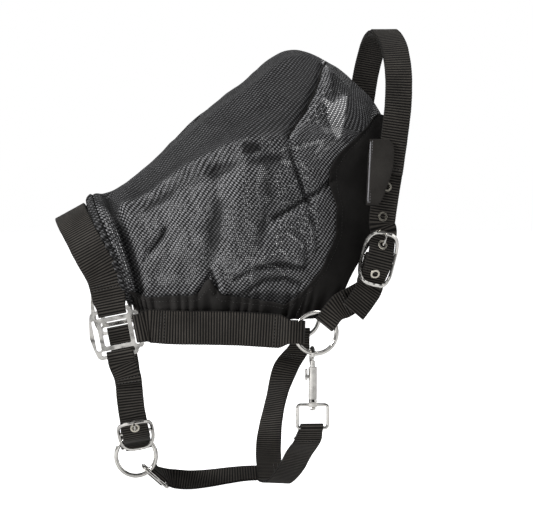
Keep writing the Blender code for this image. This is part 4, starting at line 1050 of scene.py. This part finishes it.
def knit_sheet():
    """The open mesh of both sides and the forehead, one sheet from border to border."""
    rows, columns = 118, 215
    low, turn = 0.965, 0.40  # the mesh ends under the border, and its rows bend to the rim above turn
    grid = []
    for side in (-1, 1):
        block = []
        for k in range(rows + 1):
            v = low - low * k / rows
            end = max(rear_end(v) + 0.004, wandering(REAR_FRONT, v) + 0.025 if v > 0.38 else 0.0)
            row = []
            for u in spread(HEM_END - 0.012, min(end, 1.0), columns):
                top = rim(u)
                row.append((u, side * (v if v >= turn else top + (turn - top) * v / turn)))
            block.append(row)
        grid += block[:: -side]
    cloth = laid_on_mask(grid)
    cloth.places[:, 2] = layers_and_shade(cloth.points, np.array(grid).reshape(-1, 2))
    n = columns + 1
    for i in range(len(grid) - 1):
        for j in range(columns):
            if i == rows and (grid[i][j][0] > PEAK or grid[i][j + 1][0] <= PEAK):
                continue
            a = i * n + j
            middle = (grid[i][j][0], (grid[i][j][1] + grid[i + 1][j][1]) / 2)
            if i > rows and inside(middle, BAY):
                continue
            cloth.faces.append((a, a + 1, a + n + 1, a + n))
    sheet = cloth.piece("mask_knit", "knit", "fly_mesh", ["near_mesh", "off_mesh"])
    mesh = sheet.data
    write(mesh, "surface", surface_places(grid))
    bm = bmesh.new()
    bm.from_mesh(mesh)
    bmesh.ops.remove_doubles(bm, verts=bm.verts, dist=0.02 * MM)
    bmesh.ops.delete(bm, geom=[v for v in bm.verts if not v.link_faces], context="VERTS")
    bm.to_mesh(mesh)
    bm.free()
    rise = stand_off(mesh)
    places = read(mesh, "cloth")
    # Creases close the knit by their depth, which paints them darker: painted shade in the creases.
    places[:, 2] = np.maximum(places[:, 2], np.clip((-rise / MM - 0.7) / 2.6, 0, 0.85))
    write(mesh, "cloth", places)
    return sheet


def outward(mesh):
    """Vertex normals, turned to point out of the mask."""
    normals, positions = read(mesh, "normal"), read(mesh, "co")
    inward = np.mean(np.sign(np.sum(normals * (positions - np.array(MIDDLE)), axis=1))) < 0
    return -normals if inward else normals


def stand_off(mesh, base=0.0, amount=1.0):
    """Moves the cloth off the smooth surface by its folds, using each vertex's place on the mask."""
    positions, normals, uv = read(mesh, "co"), outward(mesh), read(mesh, "surface")
    near = fold_height(positions, uv, -1, amount)
    rise = np.where(uv[:, 1] < 0, near, fold_height(positions, uv, 1, amount * OFF_FOLDS))
    write(mesh, "co", positions + normals * (rise + base)[:, None])
    mesh.update()
    return rise


def panel(name, look, grid, base, thickness, slot, shape, closed=0.0, amount=1.0):
    """A cloth panel over the mask, through a grid of (u, v), standing base outside the mesh."""
    cloth = laid_on_mask(grid)
    cloth.places[:, 2] = closed
    rows, columns = len(grid) - 1, len(grid[0]) - 1
    n = columns + 1
    cloth.faces = [
        (i * n + j, i * n + j + 1, (i + 1) * n + j + 1, (i + 1) * n + j)
        for i in range(rows) for j in range(columns)
    ]
    obj = cloth.piece(name + "_cloth", look, slot, [name])
    mesh = obj.data
    write(mesh, "surface", surface_places(grid))
    stand_off(mesh, base, amount)
    extra = np.array([shape(i / rows, j / columns) for i in range(rows + 1) for j in range(n)])
    write(mesh, "co", read(mesh, "co") + outward(mesh) * extra[:, None])
    thicken(obj, thickness)
    return obj


def thicken(obj, thickness):
    solid = obj.modifiers.new("Thickness", "SOLIDIFY")
    solid.thickness, solid.offset = thickness, 0.0


def hump(value, middle, width):
    return math.exp(-(((value - middle) / width) ** 2))


def hem_shape(i, j):
    """The nose hem: rolled at its free edge, and gathered along it."""
    return 2.2 * MM * hump(j, 0.80, 0.16) + 0.32 * MM * math.sin(i * 330 + 3 * math.sin(i * 19)) * j


def border_shape(i, j):
    """A turned edge: thick at both long sides, with a sewn valley between."""
    edge = hump(i, 0.0, 0.10) + hump(i, 1.0, 0.10)
    ripple = 0.3 * MM * math.sin(j * 95 + 2 * math.sin(j * 23))
    return 0.5 * MM * edge - 0.45 * MM * hump(i, 0.24, 0.05) + ripple


def rear_shape(i, j):
    turned = 0.6 * MM * hump(j, 0.0, 0.07) - 0.4 * MM * hump(j, 0.17, 0.05)
    return turned + 0.5 * MM * math.sin(i * 30 + 4 * j)


def wandering(points, place):
    """The value at a place, in straight steps through (place, value) points."""
    places, values = zip(*points)
    return float(np.interp(place, places, values))


BORDER_TOP = [
    (0.10, 0.885), (0.14, 0.875), (0.17, 0.885), (0.24, 0.905), (0.32, 0.90), (0.40, 0.905), (0.445, 0.90),
    (0.462, 0.855), (0.478, 0.84), (0.492, 0.875), (0.52, 0.905), (0.585, 0.915), (0.65, 0.925),
    (0.70, 0.935), (0.745, 0.945), (0.785, 0.91), (0.83, 0.86), (0.90, 0.80),
]
REAR_FRONT = [
    (0.31, 0.972), (0.33, 0.958), (0.37, 0.94), (0.42, 0.905), (0.46, 0.868),
    (0.50, 0.842), (0.545, 0.853), (0.595, 0.885), (0.67, 0.895), (0.74, 0.884), (0.805, 0.868), (0.87, 0.82),
    (0.93, 0.78), (1.0, 0.76),
]


def reach_back(rear):
    """The rear panel's edge bulges towards the crown strap beside its buckle."""
    positions, uv = read(rear.data, "co"), read(rear.data, "surface")
    bulge = np.exp(-(((np.abs(uv[:, 1]) - 0.67) / 0.075) ** 2)) * ramp(uv[:, 0], 0.93, 1.0)
    positions[:, 0] += 6.5 * MM * bulge
    write(rear.data, "co", positions)


def seam_stitches(name, points, look="thread", pitch=3.0 * MM, length=2.2 * MM, lift=0.6 * MM, body=ROOT):
    """Stitches along a line of (point, outward normal)."""
    cloth = Cloth()
    travelled, due = 0.0, pitch / 2
    for (a, na), (b, nb) in zip(points, points[1:]):
        gap = (b - a).length
        while gap > 0 and due <= travelled + gap:
            t = (due - travelled) / gap
            normal = na.lerp(nb, t).normalized()
            stitch(cloth, a.lerp(b, t) + normal * lift, (b - a).normalized(), normal, length, 0.5 * MM)
            due += pitch
        travelled += gap
    cloth.piece(name, look, "border_cloth", body=body)


def on_cloth(obj, n, chosen):
    """(point, outward normal) of a sheet's vertices, chosen as (row, column)."""
    positions, normals = read(obj.data, "co"), outward(obj.data)
    return [(Vector(positions[i * n + j]), Vector(normals[i * n + j])) for i, j in chosen]


def lower_border(side, label):
    columns, rows = 130, 12
    edge = spread(HEM_END - 0.004, 0.884, columns)
    tops = [wandering(BORDER_TOP, u) - EDGE for u in edge]
    grid = [[(u, side * (EDGE + top * k / rows)) for u, top in zip(edge, tops)] for k in range(rows + 1)]
    border = panel(label + "_lower_border", "border", grid, 0.9 * MM, 1.3 * MM, "border_cloth", border_shape)
    chosen = [(int(rows * 0.76), j) for j in range(columns + 1)]
    seam_stitches(label + "_border_stitching", on_cloth(border, columns + 1, chosen))


def rear_panel(side, label):
    columns, rows = 26, 90
    grid = [
        [(u, side * v) for u in spread(wandering(REAR_FRONT, v), 1.0, columns)]
        for v in spread(EDGE, 0.31, rows)
    ]
    name = label + "_rear_panel"
    rear = panel(name, "rear", grid, 1.5 * MM, 1.4 * MM, "border_cloth", rear_shape, amount=0.8)
    reach_back(rear)
    chosen = [(i, int(columns * 0.17)) for i in range(rows + 1)]
    seam_stitches(label + "_rear_stitching", on_cloth(rear, columns + 1, chosen))


def mask():
    knit = knit_sheet()
    columns, rows = 14, 420
    grid = [[(u, v) for u in spread(0.0, HEM_END + 0.006, columns)] for v in spread(-0.985, 0.985, rows)]
    # The hem's closing value shuts its openings and paints it darker, as painted shade.
    hem = panel("nose_hem", "knit", grid, 0.9 * MM, 1.6 * MM, "fly_mesh", hem_shape, closed=0.8)
    for side, label in SIDES:
        lower_border(side, label)
        rear_panel(side, label)
    for side, label in SIDES:
        line = surface_line(DART, side, 0.5 * MM)
        tube(label + "_dart_seam", [p for p, _ in line], 0.95 * MM, "border", "border_cloth")


def tube(name, points, radius, look, slot, replaced=(), body=ROOT):
    """A round cord of cloth along points."""
    cloth = Cloth()
    sides = 8
    travelled = 0.0
    for k, point in enumerate(points):
        a, b = points[max(k - 1, 0)], points[min(k + 1, len(points) - 1)]
        direction = (b - a).normalized()
        across = direction.cross(Vector((0, 1, 0.3))).normalized()
        up = across.cross(direction)
        if k:
            travelled += (point - points[k - 1]).length
        taper = min(1.0, 0.3 + k / 3, 0.3 + (len(points) - 1 - k) / 3)
        for j in range(sides):
            angle = 2 * math.pi * j / sides
            cloth.points.append(point + (across * math.cos(angle) + up * math.sin(angle)) * radius * taper)
            cloth.places.append((travelled, j * 0.0004, 0.0))
    for k in range(len(points) - 1):
        for j in range(sides):
            a, b = k * sides + j, k * sides + (j + 1) % sides
            cloth.faces.append((a, b, b + sides, a + sides))
    last = (len(points) - 1) * sides
    cloth.faces.append(tuple(reversed(range(sides))))
    cloth.faces.append(tuple(last + j for j in range(sides)))
    return cloth.piece(name, look, slot, replaced, body)


def surface_line(points, side, lift, count=40):
    """A smooth line over the folded cloth, from a few (u, v) points."""
    closed = [points[0], *points, points[-1]]
    line = []
    for i in range(1, len(closed) - 2):
        quad = [Vector((*closed[k], 0)) for k in (i - 1, i, i + 1, i + 2)]
        steps = count // (len(points) - 1)
        for k in range(steps + (i == len(closed) - 3)):
            p = catmull(*quad, k / steps)
            line.append((p.x, p.y))
    flat = np.array([mask_point(u, side * v) for u, v in line])
    amount = 1.0 if side < 0 else OFF_FOLDS
    rise = fold_height(flat, np.array([(u, side * v) for u, v in line]), side, amount)
    result = []
    for (u, v), p, r in zip(line, flat, rise):
        du = mask_point(u + 0.004, side * v) - mask_point(u - 0.004, side * v)
        dv = mask_point(u, side * (v + 0.004)) - mask_point(u, side * max(v - 0.004, 0.0001))
        normal = du.cross(dv).normalized()
        if normal.dot(Vector(p) - MIDDLE) < 0:
            normal = -normal
        result.append((Vector(p) + normal * (r + lift), normal))
    return result


# The shaped seams that turn the cloth down behind the forehead
DART = [(0.842, 0.12), (0.825, 0.17), (0.805, 0.24), (0.765, 0.33), (0.71, 0.41)]


# The keeper's width up its height, as (share of the height, mm)
LEAF = [
    (0.0, 9.5), (0.04, 12.0), (0.12, 14.5), (0.25, 17.0), (0.40, 20.3), (0.52, 22.2), (0.65, 23.0),
    (0.84, 23.0),
    (0.91, 22.2), (0.96, 20.2), (0.985, 18.0), (1.0, 15.5),
]


KEEPER_LOW, KEEPER_HEIGHT, KEEPER_LEFT, KEEPER_LEAN = -163.0, 62.0, -25.0, 4.0


def keeper_place(rise, across, outward_by):
    """A place by the crown strap: rise is a share of the keeper's height, the others millimetres."""
    x = KEEPER_LEFT + across + KEEPER_LEAN * rise
    return Vector((x, -(78.6 - 10.2 * rise) - outward_by, KEEPER_LOW + KEEPER_HEIGHT * rise)) * MM


def keeper_leaf(node, body, inner, outer, look):
    """One padded leaf of the keeper, from its hinge edge out over the crown strap."""
    rows, columns = 44, 18
    n = columns + 1
    cloth = Cloth()
    for i in range(rows + 1):
        rise = i / rows
        wide = wandering(LEAF, rise)
        for j in range(n):
            t = j / columns
            pad = 1.1 * (math.sin(math.pi * t) * math.sin(math.pi * rise)) ** 0.6 * (inner > 0)
            place = keeper_place(rise, wide * t, inner + (outer - inner) * t + pad)
            cloth.points.append(place)
            cloth.places.append((wide * t * MM, place.z, 0.0))
            if i and j:
                cloth.faces.append(((i - 1) * n + j - 1, (i - 1) * n + j, i * n + j, i * n + j - 1))
    obj = cloth.piece(node + "_cloth", look, "border_cloth", [node], body)
    thicken(obj, 1.6 * MM)
    soft = obj.modifiers.new("Edges", "BEVEL")
    soft.width, soft.segments = WORN_EDGE, 3


def keeper():
    keeper_leaf("keeper_base", ROOT, -4.6, -4.0, "border")
    keeper_leaf("keeper_flap", "flap", 7.0, 6.6, "keeper")
    rises = [0.03 + 0.94 * k / 39 for k in range(40)]
    # The pale grey cord and the pale stitches up the flap's folded edge are a painted highlight along that
    # edge.
    highlight_cord = [keeper_place(rise, 0.5, 7.65) for rise in rises]
    tube("keeper_highlight_cord", highlight_cord, 0.75 * MM, "edge_highlight", "border_cloth", body="flap")
    line = [(keeper_place(rise, 2.2, 7.95), Vector((0, -1, 0))) for rise in rises]
    seam_stitches("keeper_stitching", line, "edge_highlight", 2.6 * MM, 2.0 * MM, 0.1 * MM, "flap")


# Hardware -----------------------------------------------------------------------------------------


def ring(name, centre, node):
    """A drawn and welded ring, with the weld's faint bead."""
    cloth = Cloth()
    steps, sides = 120, 20
    for i in range(steps):
        a = 2 * math.pi * i / steps
        bead = 1 + 0.06 * hump(i, 88, 1.6)
        for j in range(sides):
            b = 2 * math.pi * j / sides
            r = RING_R + RING_WIRE * bead * math.cos(b)
            y = RING_WIRE * bead * math.sin(b)
            cloth.points.append(centre + Vector((r * math.cos(a), y, r * math.sin(a))))
            k, m = (i + 1) % steps, (j + 1) % sides
            cloth.faces.append((i * sides + j, i * sides + m, k * sides + m, k * sides + j))
    cloth.piece(name + "_wire", "chrome", "chrome", [node], name)


def rings():
    ring("near_ring", Vector((RING_X, -RING_Y, RING_Z)), "near_throat_ring")
    ring("off_ring", Vector((RING_X, RING_Y, RING_Z)), "off_throat_ring")
    ring("chin_ring", CHIN_RING, "chin_ring")


def spring():
    """The coil behind the snap's bolt, which shortens as the bolt is drawn back."""
    low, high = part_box("snap_spring")
    wire, turns, steps = 0.35 * MM, 5, 24
    length = high.z - low.z
    x, y, reach = (low.x + high.x) / 2, (low.y + high.y) / 2, (high.x - low.x) / 2 - wire
    points = []
    for k in range(turns * steps + 1):
        a = 2 * math.pi * k / steps
        z = low.z + wire + (length - 2 * wire) * k / (turns * steps)
        points.append(Vector((x + reach * math.cos(a), y + reach * math.sin(a), z)))
    obj = tube("snap_coil", points, wire, "spring", "spring_steel", ["snap_spring"], "snap")
    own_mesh(obj)


METAL_NODES = {
    "chrome": [
        "near_square", "off_square", "crown_buckle_frame", "crown_buckle_tongue", "chin_buckle_frame",
        "chin_buckle_tongue", "link_loop", "snap_eye", "snap_rivet", "snap_hook", "snap_bolt",
    ],
    "eyelet": ["crown_eyelet_1", "crown_eyelet_2", "crown_eyelet_3", "crown_eyelet_4", "chin_eyelet"],
}


def finish_metal():
    """Gives the CAD's metal nodes their plated finish and smooth shading."""
    for look, nodes in METAL_NODES.items():
        for name in nodes:
            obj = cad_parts[name]
            for slot in obj.material_slots:
                slot.material = LOOKS[look]
            if look == "chrome":
                soft = obj.modifiers.new("Worn edges", "BEVEL")
                soft.width, soft.segments, soft.angle_limit = WORN_EDGE, 3, math.radians(38)
                soft.limit_method, soft.harden_normals = "ANGLE", True


camera()
studio()
floor()
LOOKS = {
    "webbing": webbing_look(),
    "knit": knit_look(),
    "border": cloth_look("border_cloth", (0.010, 0.0095, 0.009, 1), (0.045, 0.042, 0.04, 1)),
    # The rear panel's cloth is a darker copy of the border cloth: partly the panel's own tone, partly painted
    # shade.
    "rear": cloth_look("rear_cloth_and_shade", (0.006, 0.0055, 0.0052, 1), (0.022, 0.0205, 0.0195, 1)),
    "keeper": cloth_look("keeper_cloth", (0.016, 0.0145, 0.013, 1), (0.05, 0.046, 0.042, 1)),
    "thread": thread_look("black_thread", (0.006, 0.006, 0.006, 1), (0.05, 0.048, 0.045, 1)),
    # A pale grey, painted as the highlight on the keeper flap's folded edge.
    "edge_highlight": thread_look("pale_edge_highlight", (0.10, 0.10, 0.11, 1), (0.42, 0.41, 0.43, 1)),
    "chrome": metal_look("nickel_plate", (0.90, 0.88, 0.84), 0.07, 0.2),
    "eyelet": metal_look("eyelet_plate", (0.78, 0.74, 0.64), 0.18, 0.36),
    "spring": metal_look("spring_wire", (0.5, 0.5, 0.51), 0.25, 0.45),
}
noseband()
cheek_strap("near_cheek_strap", False)
cheek_strap("off_cheek_strap", True)
crown_strap()
crown_billet()
chin_straps()
connector_strap()
throat_strap()
mask()
keeper()
rings()
spring()
finish_metal()
